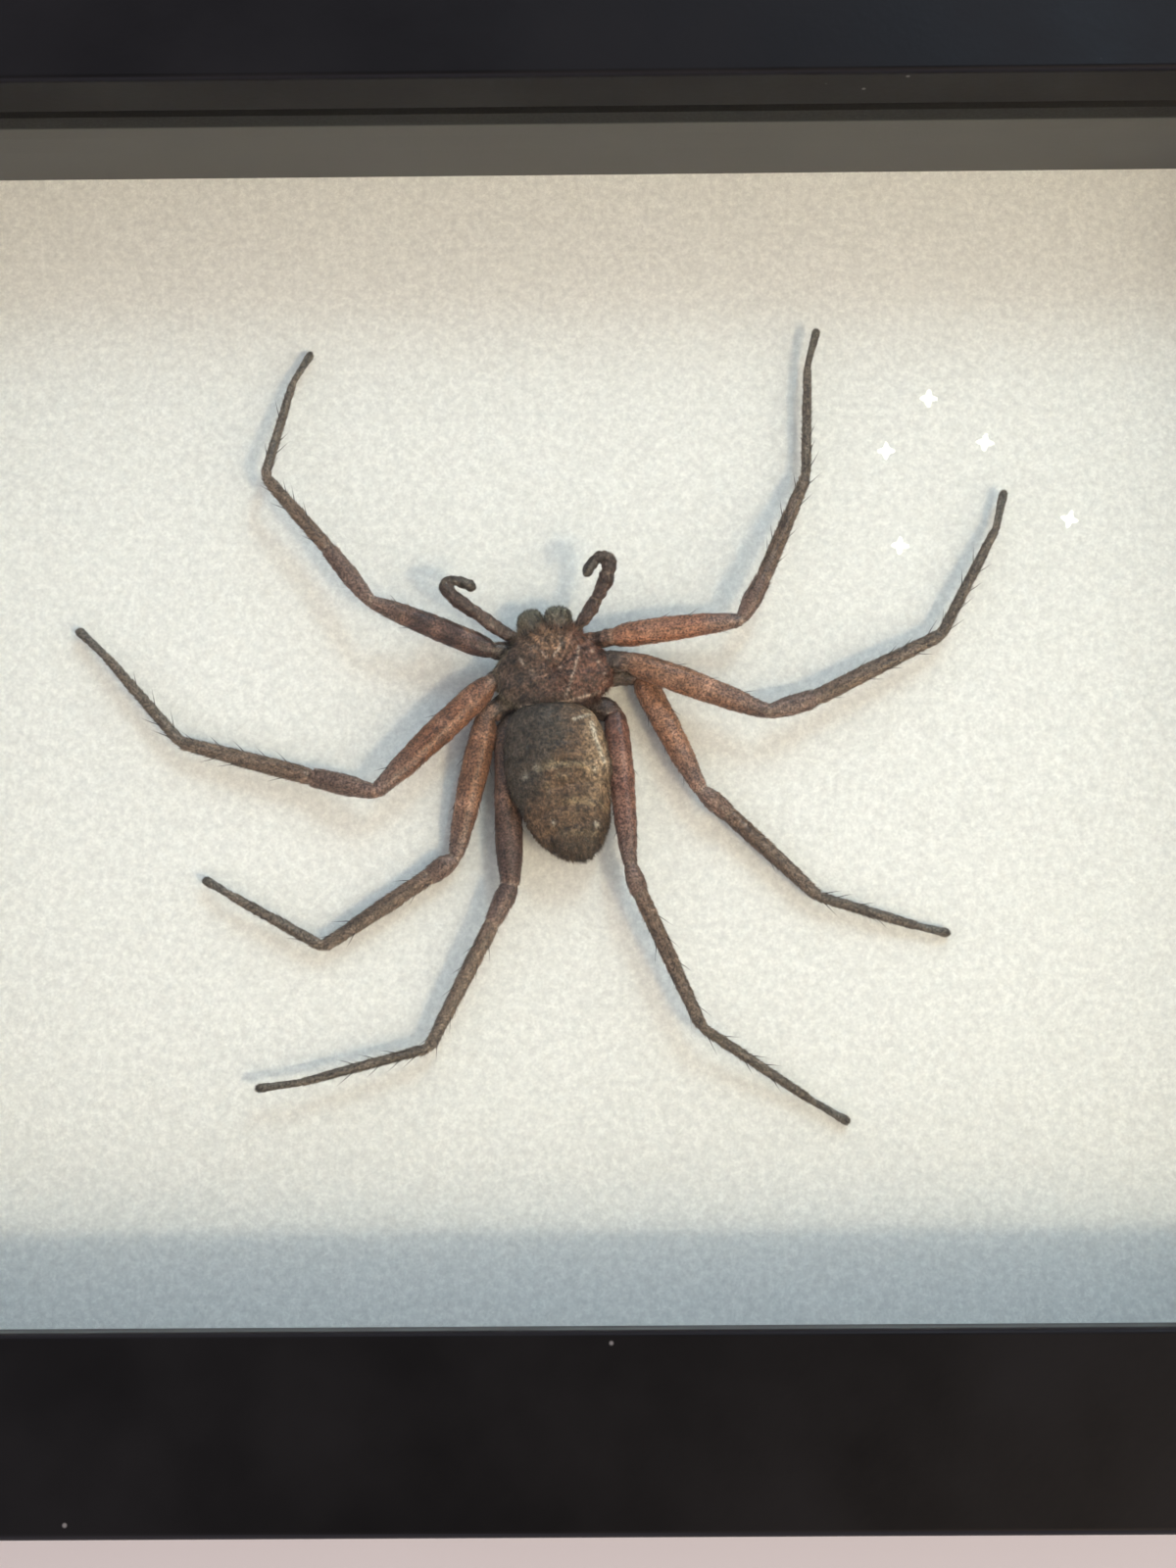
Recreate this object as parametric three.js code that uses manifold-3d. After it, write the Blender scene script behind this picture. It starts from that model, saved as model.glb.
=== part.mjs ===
// A dried huntsman spider fixed in a black shadow-box frame, which lies on its back with the glass up.
// Millimetres. +X runs along the long rails, +Y towards the top rail, +Z out through the glass.
// The origin is the centre of the frame's rear face.
import * as THREE from "three";
import { mergeVertices } from "three/addons/utils/BufferGeometryUtils.js";
import Module from "manifold-3d";

const wasm = await Module();
wasm.setup();

// Frame: driving dimensions.
const windowWidth = 190; // clear opening, left to right
const windowHeight = 140; // clear opening, bottom to top
const railWidth = 20.5; // face of a rail
const frameDepth = 38; // front face to rear face
const lipDepth = 7.5; // front face to glass
const rabbetWidth = 6.5; // how far the lip reaches in over the glass
const edgeRadius = 0.7; // eased outer edges of a rail
const mitreGap = 0.05; // each rail's share of the hairline at a corner
const glassThickness = 3;
const displayDepth = 16.5; // glass to board
const boardThickness = 3;
const panelThickness = 2.75;
const insertClearance = 0.375; // glass, board and panel inside the rabbet, each side
const spacerSetback = 0.25; // spacer face behind the lip's edge
const spacerThickness = 6;
const spacerGap = 0.25; // spacer's front edge to glass, and its ends to each other

// Fixings on the back.
const tabLength = 9;
const tabWidth = 8;
const tabThickness = 0.5;
const tabOffset = 58; // tabs of the long rails, from the middle
const hangerLength = 46;
const hangerWidth = 9;
const hangerPlate = 0.75;
const hangerLift = 1.5; // bridge of the hanger, off the panel
const hangerFoot = 7;
const hangerFromTop = 15; // panel's top edge to the hanger's middle
const toothPitch = 2.5;
const toothDepth = 1.5;
const nailHeadRadius = 1.9;
const nailHeadThickness = 0.75;
const nailPoint = 0.5;
const nailShankRadius = 0.6;
const nailDepth = 2; // into the panel
const nailClearance = 0.1;

// Heights that follow.
const glassTop = frameDepth - lipDepth;
const glassBottom = glassTop - glassThickness;
const boardTop = glassBottom - displayDepth;
const boardBottom = boardTop - boardThickness;
const panelBottom = boardBottom - panelThickness;
const insertWidth = windowWidth + 2 * (rabbetWidth - insertClearance);
const insertHeight = windowHeight + 2 * (rabbetWidth - insertClearance);

// Spider: where its body lies on the board, and how far the head points to the left.
const spiderPlace = [0, -0.25, boardTop];
const bodyCentre = [0.5, 5.5];
const bodyTurn = THREE.MathUtils.degToRad(8.4);
const carapace = { halfWidth: 6.8, halfLength: 5.2, rim: 4.4, dome: 3.4, belly: 2.8 };
const carapaceSquareness = { front: 7, rear: 2.5 };
const headTaper = 0.48; // how much narrower the head is than the chest
const abdomenLine = { front: [0.2, 0.7], bend: [0.9, -9.2], tip: [4.6, -17.2] };
const abdomenSize = { halfWidth: 6.2, halfHeight: 3.5, height: 4.9 };
const abdomenTaper = 0.13; // how much the rear half falls in
const folds = [0.38, 0.52, 0.64, 0.76]; // shares of the abdomen's length, from the front
const foldDepth = 0.3;
const jawSize = { halfWidth: 1.6, halfLength: 2.5, halfHeight: 2 };
const jawPlace = { x: 1.68, y: 5.05, z: 3.9, droop: 0.35 }; // from the body's centre
const glueDab = { radius: 2.6, height: 1.5 };
const skinGap = 0.25; // between one piece of the spider and the next
const limbSides = 8;
const kneeRound = 0.9; // how far from a joint a limb starts to bend

// Legs: girth against a mean leg, then [x, y, height over the board] of hip, femur's root, knee,
// patella's end, tibia's end, metatarsus's end and tip.
const legs = {
  leg_left_1: {
    girth: 0.88,
    joints: [
      [-2.9, 8.1, 2.8], [-6.5, 8.0, 4.4], [-20.8, 13.5, 6.5], [-26.1, 20.5, 5.2],
      [-33.8, 29.6, 5.0], [-31.1, 42.6, 1.9], [-29.0, 46.7, 1.2],
    ],
  },
  leg_left_2: {
    girth: 1.04,
    joints: [
      [-3.2, 5.7, 2.8], [-6.8, 4.0, 4.4], [-20.1, -9.0, 4.6], [-28.0, -6.7, 2.4],
      [-43.5, -2.4, 2.3], [-52.8, 8.3, 2.2], [-56.4, 11.7, 1.4],
    ],
  },
  leg_left_3: {
    girth: 1.0,
    joints: [
      [-2.8, 3.4, 2.8], [-7.2, 0.2, 3.6], [-10.9, -16.4, 2.1], [-14.0, -18.6, 1.9],
      [-26.3, -26.8, 1.8], [-37.3, -20.6, 2.4], [-40.4, -18.7, 1.6],
    ],
  },
  leg_left_4: {
    girth: 0.93,
    joints: [
      [-1.7, 1.2, 2.8], [-5.0, -0.6, 2.6], [-4.4, -19.9, 3.5], [-6.5, -24.4, 3.4],
      [-13.8, -38.7, 2.6], [-28.2, -42.6, 3.8], [-33.5, -43.3, 3.6],
    ],
  },
  leg_right_1: {
    girth: 0.93,
    joints: [
      [3.2, 9.0, 2.8], [7.7, 9.5, 4.6], [22.9, 11.3, 5.0], [25.7, 16.5, 5.0],
      [31.2, 29.8, 2.6], [31.7, 43.8, 2.7], [32.9, 48.3, 3.3],
    ],
  },
  leg_right_2: {
    girth: 1.0,
    joints: [
      [4.3, 6.8, 3.4], [9.5, 6.2, 5.6], [25.9, 0.1, 5.0], [31.6, 2.1, 3.4],
      [46.8, 9.9, 2.7], [53.9, 23.2, 2.2], [55.1, 28.0, 1.8],
    ],
  },
  leg_right_3: {
    girth: 0.97,
    joints: [
      [4.8, 5.7, 2.0], [10.9, 5.3, 2.3], [17.9, -8.8, 3.2], [21.2, -11.5, 2.1],
      [31.5, -21.3, 1.7], [43.1, -24.8, 1.1], [46.7, -25.6, 0.9],
    ],
  },
  leg_right_4: {
    girth: 0.93,
    joints: [
      [4.0, 2.1, 2.8], [7.9, 0.6, 3.0], [9.5, -17.9, 5.1], [10.7, -21.4, 4.9],
      [17.6, -36.7, 4.0], [30.2, -44.9, 1.1], [34.4, -47.4, 0.95],
    ],
  },
};
// A leg's pieces from hip to tip: thickness, then pairs of a share of the length and a share of that.
const legPieces = [
  { thickness: 2.9, profile: [[0.05, 0.75], [0.4, 1], [0.9, 0.85]] }, // coxa and trochanter
  { thickness: 3.4, profile: [[0.03, 0.78], [0.12, 0.96], [0.42, 1], [0.75, 0.84], [0.96, 0.56]] }, // femur
  { thickness: 2.45, profile: [[0.08, 0.74], [0.4, 1], [0.85, 0.92]] }, // patella
  { thickness: 2.05, profile: [[0.03, 0.98], [0.45, 1], [0.95, 0.82]] }, // tibia
  { thickness: 1.48, profile: [[0.02, 0.98], [0.5, 0.92], [0.95, 0.8]] }, // metatarsus
  { thickness: 1.15, profile: [[0.1, 0.85], [0.6, 0.92], [0.86, 1.12], [0.97, 0.8]] }, // tarsus and claw tuft
];
// Feelers beside the jaws: root, end of femur, end of tibia, the curl and the tip.
const palps = {
  palp_left: [
    [-3.1, 9.6, 3.4], [-4.3, 9.5, 4.6], [-7.9, 11.6, 6.6], [-11.1, 13.7, 7.6],
    [-12.2, 15.2, 7.6], [-10.7, 15.8, 7.2], [-8.4, 15.0, 6.6],
  ],
  palp_right: [
    [2.8, 9.9, 3.8], [3.8, 10.8, 4.9], [5.9, 13.5, 7.0], [7.3, 16.1, 8.8],
    [7.4, 18.0, 9.2], [5.8, 17.8, 9.0], [4.5, 15.9, 8.4],
  ],
};
const palpPieces = [
  { thickness: 1.7, profile: [[0.1, 0.8], [0.7, 0.9]] },
  { thickness: 2.0, profile: [[0.15, 0.85], [0.75, 1]] },
  { thickness: 2.1, profile: [[0.1, 0.85], [0.6, 1]] },
  { thickness: 1.85, profile: [[0.1, 1], [0.6, 1]] },
  { thickness: 1.6, profile: [[0.2, 1], [0.8, 1]] },
  { thickness: 1.5, profile: [[0.2, 1], [0.75, 1], [0.96, 0.65]] },
];

// Finishes.
const finish = (color, roughness, metalness = 0) =>
  new THREE.MeshStandardMaterial({ color, roughness, metalness });
const finishes = {
  rail: finish("#16181a", 0.42),
  spacer: finish("#3a3734", 0.8),
  board: finish("#ece8df", 0.9),
  panel: finish("#6e4f36", 0.75),
  steel: finish("#a9abad", 0.35, 1),
  shell: finish("#3f332c", 0.7),
  abdomen: finish("#4c4335", 0.8),
  jaw: finish("#34332f", 0.75),
  leg: finish("#5b3c2e", 0.6),
  glue: finish("#d9cfa8", 0.3),
};
const glassFinish = finish("#eef4f4", 0.05);
glassFinish.transparent = true;
glassFinish.opacity = 0.15;

// Solids: to and from the boolean library.
function toSolid(geometry) {
  const bare = geometry.clone();
  bare.deleteAttribute("normal");
  bare.deleteAttribute("uv");
  const merged = mergeVertices(bare, 1e-4);
  return new wasm.Manifold(
    new wasm.Mesh({
      numProp: 3,
      vertProperties: merged.attributes.position.array,
      triVerts: new Uint32Array(merged.index.array),
    }),
  );
}

function toGeometry(solid) {
  const mesh = solid.getMesh();
  return new THREE.BufferGeometry()
    .setAttribute("position", new THREE.BufferAttribute(mesh.vertProperties, 3))
    .setIndex(new THREE.BufferAttribute(mesh.triVerts, 1));
}

function cut(geometry, ...tools) {
  return toGeometry(tools.reduce((solid, tool) => solid.subtract(toSolid(tool)), toSolid(geometry)));
}

function named(name, geometry, material, position = [0, 0, 0]) {
  const mesh = new THREE.Mesh(geometry, material);
  mesh.name = name;
  mesh.position.set(...position);
  return mesh;
}

// Moves every vertex of a geometry by a function of its place.
function reshape(geometry, move) {
  const places = geometry.attributes.position;
  const v = new THREE.Vector3();
  for (let i = 0; i < places.count; i++) {
    move(v.fromBufferAttribute(places, i));
    places.setXYZ(i, v.x, v.y, v.z);
  }
  return geometry;
}

// Section of a rail: x outwards from the sight edge, y up from the rear face.
function railSection() {
  const r = edgeRadius;
  const section = new THREE.Shape();
  section.moveTo(0, glassTop);
  section.lineTo(rabbetWidth, glassTop);
  section.lineTo(rabbetWidth, 0);
  section.lineTo(railWidth - r, 0);
  section.absarc(railWidth - r, r, r, -Math.PI / 2, 0);
  section.lineTo(railWidth, frameDepth - r);
  section.absarc(railWidth - r, frameDepth - r, r, 0, Math.PI / 2);
  section.lineTo(r, frameDepth);
  section.absarc(r, frameDepth - r, r, Math.PI / 2, Math.PI);
  section.closePath();
  return section;
}

// A rail for one side of the opening, with both ends mitred. It is made as the top rail.
function mitredRail(openingLength, openingAcross) {
  const rail = new THREE.ExtrudeGeometry(railSection(), { depth: 1, bevelEnabled: false, curveSegments: 3 });
  return reshape(rail, (v) => {
    const half = openingLength / 2 + v.x - mitreGap;
    v.set((v.z < 0.5 ? -1 : 1) * half, openingAcross / 2 + v.x, v.y);
  });
}

function buildRails() {
  const rails = new THREE.Group();
  ["rail_top", "rail_left", "rail_bottom", "rail_right"].forEach((name, quarter) => {
    const long = quarter % 2 === 0;
    const geometry = long ? mitredRail(windowWidth, windowHeight) : mitredRail(windowHeight, windowWidth);
    const rail = named(name, geometry, finishes.rail);
    rail.rotation.z = (quarter * Math.PI) / 2;
    rails.add(rail);
  });
  return rails;
}

// Strips inside the rabbet that hold the glass off the board.
function buildSpacers() {
  const spacers = new THREE.Group();
  const height = displayDepth - spacerGap;
  const z = boardTop + height / 2;
  const fromEdge = spacerSetback + spacerThickness / 2;
  const sideLength = windowHeight + 2 * spacerSetback - 2 * spacerGap;
  const longStrip = new THREE.BoxGeometry(insertWidth, spacerThickness, height);
  const sideStrip = new THREE.BoxGeometry(spacerThickness, sideLength, height);
  const y = windowHeight / 2 + fromEdge;
  const x = windowWidth / 2 + fromEdge;
  spacers.add(
    named("spacer_top", longStrip, finishes.spacer, [0, y, z]),
    named("spacer_bottom", longStrip, finishes.spacer, [0, -y, z]),
    named("spacer_left", sideStrip, finishes.spacer, [-x, 0, z]),
    named("spacer_right", sideStrip, finishes.spacer, [x, 0, z]),
  );
  return spacers;
}

function sheet(thickness) {
  return new THREE.BoxGeometry(insertWidth, insertHeight, thickness);
}

const hangerY = insertHeight / 2 - hangerFromTop;
const nailX = (hangerLength - hangerFoot) / 2;

// A hole for a hanger nail, along Z, that reaches depth to either side of the origin.
function nailHole(depth) {
  const radius = nailShankRadius + nailClearance;
  return new THREE.CylinderGeometry(radius, radius, 2 * depth, 10).rotateX(Math.PI / 2);
}

function buildSheets() {
  const holes = [-nailX, nailX].map((x) => nailHole(nailDepth).translate(x, hangerY, -panelThickness / 2));
  const panel = cut(sheet(panelThickness), ...holes);
  const sheets = new THREE.Group();
  sheets.add(
    named("glass", sheet(glassThickness), glassFinish, [0, 0, glassBottom + glassThickness / 2]),
    named("display_board", sheet(boardThickness), finishes.board, [0, 0, boardBottom + boardThickness / 2]),
    named("back_panel", panel, finishes.panel, [0, 0, panelBottom + panelThickness / 2]),
  );
  return sheets;
}

// Thin steel tabs that stand out of the rails' rabbet and lie on the panel.
function tabGeometry() {
  const r = tabWidth / 2;
  const outline = new THREE.Shape();
  outline.moveTo(-r, 0);
  outline.lineTo(r, 0);
  outline.lineTo(r, tabLength - r);
  outline.absarc(0, tabLength - r, r, 0, Math.PI);
  outline.closePath();
  return new THREE.ExtrudeGeometry(outline, { depth: tabThickness, bevelEnabled: false, curveSegments: 8 });
}

function buildTabs() {
  const tabs = new THREE.Group();
  const y = windowHeight / 2 + rabbetWidth;
  const x = windowWidth / 2 + rabbetWidth;
  const places = {
    tab_top_left: [-tabOffset, y, Math.PI],
    tab_top_right: [tabOffset, y, Math.PI],
    tab_bottom_left: [-tabOffset, -y, 0],
    tab_bottom_right: [tabOffset, -y, 0],
    tab_left: [-x, 0, -Math.PI / 2],
    tab_right: [x, 0, Math.PI / 2],
  };
  for (const [name, [px, py, turn]] of Object.entries(places)) {
    const tab = named(name, tabGeometry(), finishes.steel, [px, py, panelBottom - tabThickness]);
    tab.rotation.z = turn;
    tabs.add(tab);
  }
  return tabs;
}

// Sawtooth hanger: a toothed bridge on two feet, seen from behind the frame.
function hangerGeometry() {
  const half = hangerLength / 2;
  const bridge = new THREE.Shape();
  const toothedHalf = Math.floor((half - hangerFoot - 1) / toothPitch) * toothPitch;
  bridge.moveTo(-half, hangerWidth / 2);
  bridge.lineTo(-half, -hangerWidth / 2);
  bridge.lineTo(-toothedHalf, -hangerWidth / 2);
  for (let x = -toothedHalf; x < toothedHalf; x += toothPitch) {
    bridge.lineTo(x + toothPitch / 2, -hangerWidth / 2 + toothDepth);
    bridge.lineTo(x + toothPitch, -hangerWidth / 2);
  }
  bridge.lineTo(half, -hangerWidth / 2);
  bridge.lineTo(half, hangerWidth / 2);
  bridge.closePath();
  const plate = new THREE.ExtrudeGeometry(bridge, { depth: hangerPlate, bevelEnabled: false });
  const foot = new THREE.BoxGeometry(hangerFoot, hangerWidth, hangerLift);
  let solid = toSolid(plate);
  for (const x of [-nailX, nailX]) {
    solid = solid.add(toSolid(foot.clone().translate(x, 0, hangerPlate + hangerLift / 2)));
    solid = solid.subtract(toSolid(nailHole(2 * hangerLift).translate(x, 0, 0)));
  }
  return toGeometry(solid);
}

function nailGeometry() {
  const end = nailHeadThickness + hangerPlate + hangerLift + nailDepth - nailClearance;
  const profile = [
    [0, 0],
    [nailHeadRadius * 0.8, 0],
    [nailHeadRadius, nailHeadThickness / 2],
    [nailHeadRadius, nailHeadThickness],
    [nailShankRadius, nailHeadThickness],
    [nailShankRadius, end - nailPoint],
    [0, end],
  ];
  const lathe = new THREE.LatheGeometry(profile.map(([r, h]) => new THREE.Vector2(r, h)), 14);
  return lathe.rotateX(Math.PI / 2);
}

function buildHanger() {
  const hanger = new THREE.Group();
  const z = panelBottom - hangerLift - hangerPlate;
  const nailZ = z - nailHeadThickness;
  hanger.add(named("sawtooth_hanger", hangerGeometry(), finishes.steel, [0, hangerY, z]));
  hanger.add(named("hanger_nail_left", nailGeometry(), finishes.steel, [-nailX, hangerY, nailZ]));
  hanger.add(named("hanger_nail_right", nailGeometry(), finishes.steel, [nailX, hangerY, nailZ]));
  return hanger;
}

// The line of a limb: straight pieces joined by short bends at the joints.
function limbLine(joints) {
  const at = joints.map((p) => new THREE.Vector3(...p));
  const line = new THREE.CurvePath();
  let from = at[0];
  for (let i = 1; i < at.length - 1; i++) {
    const before = at[i - 1].clone().sub(at[i]);
    const after = at[i + 1].clone().sub(at[i]);
    const round = Math.min(kneeRound, before.length() * 0.4, after.length() * 0.4);
    const start = at[i].clone().add(before.setLength(round));
    const end = at[i].clone().add(after.setLength(round));
    line.add(new THREE.LineCurve3(from, start));
    line.add(new THREE.QuadraticBezierCurve3(start, at[i], end));
    from = end;
  }
  line.add(new THREE.LineCurve3(from, at.at(-1)));
  return line;
}

// A jointed limb: a lathed profile bent along the limb's line. grow makes it fatter all round.
function limbGeometry(joints, pieces, girth = 1, grow = 0) {
  const at = joints.map((p) => new THREE.Vector3(...p));
  const lengths = at.slice(1).map((place, i) => place.distanceTo(at[i]));
  const total = lengths.reduce((sum, length) => sum + length, 0);
  const profile = [new THREE.Vector2(0, 0)];
  let start = 0;
  pieces.forEach((piece, i) => {
    for (const [along, thick] of piece.profile) {
      const radius = (piece.thickness * girth * thick) / 2 + grow;
      profile.push(new THREE.Vector2(radius, (start + along * lengths[i]) / total));
    }
    start += lengths[i];
  });
  profile.push(new THREE.Vector2(0, 1));
  const line = limbLine(joints);
  const up = new THREE.Vector3(0, 0, 1);
  return reshape(new THREE.LatheGeometry(profile, limbSides), (v) => {
    const share = THREE.MathUtils.clamp(v.y, 0, 1);
    const tangent = line.getTangentAt(share);
    const side = tangent.clone().cross(up).normalize();
    const top = side.clone().cross(tangent);
    const centre = line.getPointAt(share);
    v.copy(centre.addScaledVector(side, v.x).addScaledVector(top, v.z));
  });
}

const smooth = THREE.MathUtils.smoothstep;
const bump = (value, centre, width) => Math.exp(-(((value - centre) / width) ** 2));

// Cephalothorax: a shield with a raised head in front, over a narrower breastplate.
function cephalothoraxGeometry(grow = 0) {
  const c = carapace;
  const sphere = new THREE.SphereGeometry(1, 32, 18).rotateX(Math.PI / 2);
  return reshape(sphere, (v) => {
    const spread = Math.hypot(v.x, v.y) || 1;
    const [dx, dy] = [v.x / spread, v.y / spread];
    const power = dy > 0 ? carapaceSquareness.front : carapaceSquareness.rear;
    const rimReach = (Math.abs(dx) ** power + Math.abs(dy) ** power) ** (-1 / power);
    const along = dy * rimReach * Math.min(1, spread);
    const narrow = 1 - headTaper * smooth(along, 0.05, 0.95) - 0.04 * smooth(-along, 0.3, 1);
    const under = v.z < 0 ? 0.55 + 0.45 * (1 + v.z) ** 3 : 1;
    const head = bump(along, 0.55, 0.4) * bump(dx * spread, 0, 0.45);
    const furrow = bump(along, -0.2, 0.12) * bump(dx * spread, 0, 0.12);
    const height = v.z > 0 ? c.dome * v.z ** 0.8 * (0.88 + 0.18 * head - 0.12 * furrow) : c.belly * v.z;
    v.x = dx * rimReach * spread * narrow * under * (c.halfWidth + grow);
    v.y = dy * rimReach * spread * under * (c.halfLength + grow);
    v.z = c.rim + height + grow * v.z;
  });
}

// Abdomen: a dried egg shape, wide in front, with sunk folds across its back, that curves to its tip.
function abdomenGeometry() {
  const { halfWidth, halfHeight, height } = abdomenSize;
  const { front, bend, tip } = abdomenLine;
  const spine = new THREE.QuadraticBezierCurve(...[front, bend, tip].map((p) => new THREE.Vector2(...p)));
  return reshape(new THREE.SphereGeometry(1, 30, 24), (v) => {
    const share = THREE.MathUtils.clamp((1 - v.y) / 2, 0, 1);
    const ring = Math.hypot(v.x, v.z);
    const [across, rise] = ring > 1e-6 ? [v.x / ring, v.z / ring] : [0, 0];
    const back = Math.max(0, rise);
    const dip = back * folds.reduce((sum, fold) => sum + bump(share - 0.04 * across ** 2, fold, 0.03), 0);
    const width = ring ** (share < 0.5 ? 0.5 : 1.1) * (1 - abdomenTaper * smooth(share, 0.42, 0.6));
    const lift = rise * width * halfHeight * (1 - 0.1 * back * smooth(share, 0, 0.45));
    const centre = spine.getPoint(share);
    const tangent = spine.getTangent(share);
    const reach = across * width * halfWidth;
    v.set(centre.x - tangent.y * reach, centre.y + tangent.x * reach, height + lift - dip * foldDepth);
  });
}

function cheliceraGeometry(side) {
  const jaw = reshape(new THREE.SphereGeometry(1, 14, 12), (v) => {
    const swell = 1 + 0.12 * v.y;
    v.set(v.x * jawSize.halfWidth * swell, v.y * jawSize.halfLength, v.z * jawSize.halfHeight * swell);
  });
  return jaw.rotateX(-jawPlace.droop).translate(side * jawPlace.x, jawPlace.y, jawPlace.z);
}

function buildSpider() {
  const spider = new THREE.Group();
  spider.position.set(...spiderPlace);
  const toBody = (geometry) => geometry.rotateZ(bodyTurn).translate(bodyCentre[0], bodyCentre[1], 0);

  const shield = toBody(cephalothoraxGeometry());
  const shieldRoom = toBody(cephalothoraxGeometry(skinGap));
  spider.add(named("cephalothorax", shield, finishes.shell));

  const limbRoom = [];
  for (const [name, leg] of Object.entries(legs)) {
    const whole = limbGeometry(leg.joints, legPieces, leg.girth);
    spider.add(named(name, cut(whole, shieldRoom, ...limbRoom), finishes.leg));
    limbRoom.push(limbGeometry(leg.joints, legPieces, leg.girth, skinGap));
  }
  for (const [name, joints] of Object.entries(palps)) {
    const whole = limbGeometry(joints, palpPieces);
    spider.add(named(name, cut(whole, shieldRoom, ...limbRoom), finishes.leg));
    limbRoom.push(limbGeometry(joints, palpPieces, 1, skinGap));
  }
  for (const [name, side] of [["chelicera_left", -1], ["chelicera_right", 1]]) {
    const jaw = toBody(cheliceraGeometry(side));
    spider.add(named(name, cut(jaw, shieldRoom, ...limbRoom), finishes.jaw));
  }
  spider.add(named("abdomen", cut(abdomenGeometry(), shieldRoom, ...limbRoom), finishes.abdomen));

  const dab = [[0, 0], [1, 0], [0.95, 0.35], [0.75, 0.75], [0.5, 1], [0, 1]].map(
    ([r, h]) => new THREE.Vector2(r * glueDab.radius, h * glueDab.height),
  );
  const glue = new THREE.LatheGeometry(dab, 16).rotateX(Math.PI / 2);
  spider.add(named("glue_dab", glue, finishes.glue, [...bodyCentre, 0]));
  return spider;
}

const framedSpider = new THREE.Group();
framedSpider.add(buildRails(), buildSpacers(), buildSheets(), buildTabs(), buildHanger(), buildSpider());

export default framedSpider;
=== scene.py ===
import bmesh
import bpy
import math
import numpy as np
from mathutils import Matrix, Vector, noise


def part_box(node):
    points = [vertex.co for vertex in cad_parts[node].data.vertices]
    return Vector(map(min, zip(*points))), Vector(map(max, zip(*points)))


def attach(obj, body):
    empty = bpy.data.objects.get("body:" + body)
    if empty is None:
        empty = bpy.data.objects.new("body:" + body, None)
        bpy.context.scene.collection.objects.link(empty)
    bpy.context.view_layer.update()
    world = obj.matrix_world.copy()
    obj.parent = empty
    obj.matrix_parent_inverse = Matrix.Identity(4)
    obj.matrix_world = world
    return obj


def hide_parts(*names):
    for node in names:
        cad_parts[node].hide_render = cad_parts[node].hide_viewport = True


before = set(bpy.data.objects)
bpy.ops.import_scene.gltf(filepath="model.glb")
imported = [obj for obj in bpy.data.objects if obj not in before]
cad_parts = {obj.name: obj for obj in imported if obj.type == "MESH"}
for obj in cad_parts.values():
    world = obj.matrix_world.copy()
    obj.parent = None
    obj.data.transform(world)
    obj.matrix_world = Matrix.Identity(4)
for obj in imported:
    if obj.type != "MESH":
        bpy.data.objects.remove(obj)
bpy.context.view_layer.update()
scene = bpy.context.scene
mm = 0.001
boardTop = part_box("display_board")[1].z / mm
spiderPlace = np.array([0, -0.25, boardTop])  # the specimen's own zero, mm
print("frame loaded:", len(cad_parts), "nodes, board top at", round(boardTop, 2), "mm")


def colourOf(hexText):  # sRGB hex to linear red, green, blue, alpha
    values = [int(hexText[i:i + 2], 16) / 255 for i in (1, 3, 5)]
    return [v / 12.92 if v <= 0.04045 else ((v + 0.055) / 1.055) ** 2.4 for v in values] + [1.0]


def scaleOf(size):  # a pattern's Scale for a feature of this size in mm
    return 1 / (size * mm)


def addNode(tree, kind, inputs=None, **settings):  # a kind that names no family is a shader node
    node = tree.nodes.new(kind if "Node" in kind else "ShaderNode" + kind)
    for name, value in settings.items():
        setattr(node, name, value)
    for name, value in (inputs or {}).items():
        if isinstance(value, bpy.types.Node):  # a node stands for its first live output
            value = next(output for output in value.outputs if output.enabled)
        if isinstance(value, bpy.types.NodeSocket):
            tree.links.new(value, node.inputs[name])
        else:
            isHex = str(value).startswith("#")
            node.inputs[name].default_value = colourOf(value) if isHex else value
    return node


def addObject(name, data):
    added = bpy.data.objects.new(name, data)
    scene.collection.objects.link(added)
    return added


def startMaterial(name):
    material = bpy.data.materials.new(name)
    material.use_nodes = True
    material.node_tree.nodes.clear()
    place = addNode(material.node_tree, "TexCoord").outputs["Object"]
    return material, material.node_tree, place


# A surface whose roughness goes from rough[1] to rough[2] as the pattern rough[0] crosses span. Its relief
# is a pattern, how strong it is and how deep in mm.
def addSurface(tree, colour, rough, relief, sockets, span=(0, 1)):
    roughness = addNode(tree, "MapRange", {
        "Value": rough[0], "From Min": span[0], "From Max": span[1], "To Min": rough[1], "To Max": rough[2]})
    bump = addNode(tree, "Bump", {"Height": relief[0], "Strength": relief[1], "Distance": relief[2] * mm})
    return addNode(tree, "BsdfPrincipled", {
        "Base Color": colour, "Roughness": roughness, "Normal": bump, **sockets})


def endMaterial(tree, shader):
    addNode(tree, "OutputMaterial", {"Surface": shader})


# Satin black lacquer, sprayed on a wood moulding: a soft gloss over a slight orange peel, a little dust.
lacquer = {"black": "#0a0a0a", "thin": "#12110f", "dust": "#8d8a84", "cloudsPerMetre": 60, "peel": 0.8,
           "peelDepth": 0.02, "speckSpacing": 9.0, "speck": 0.015, "glossy": 0.36, "dull": 0.5}


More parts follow.
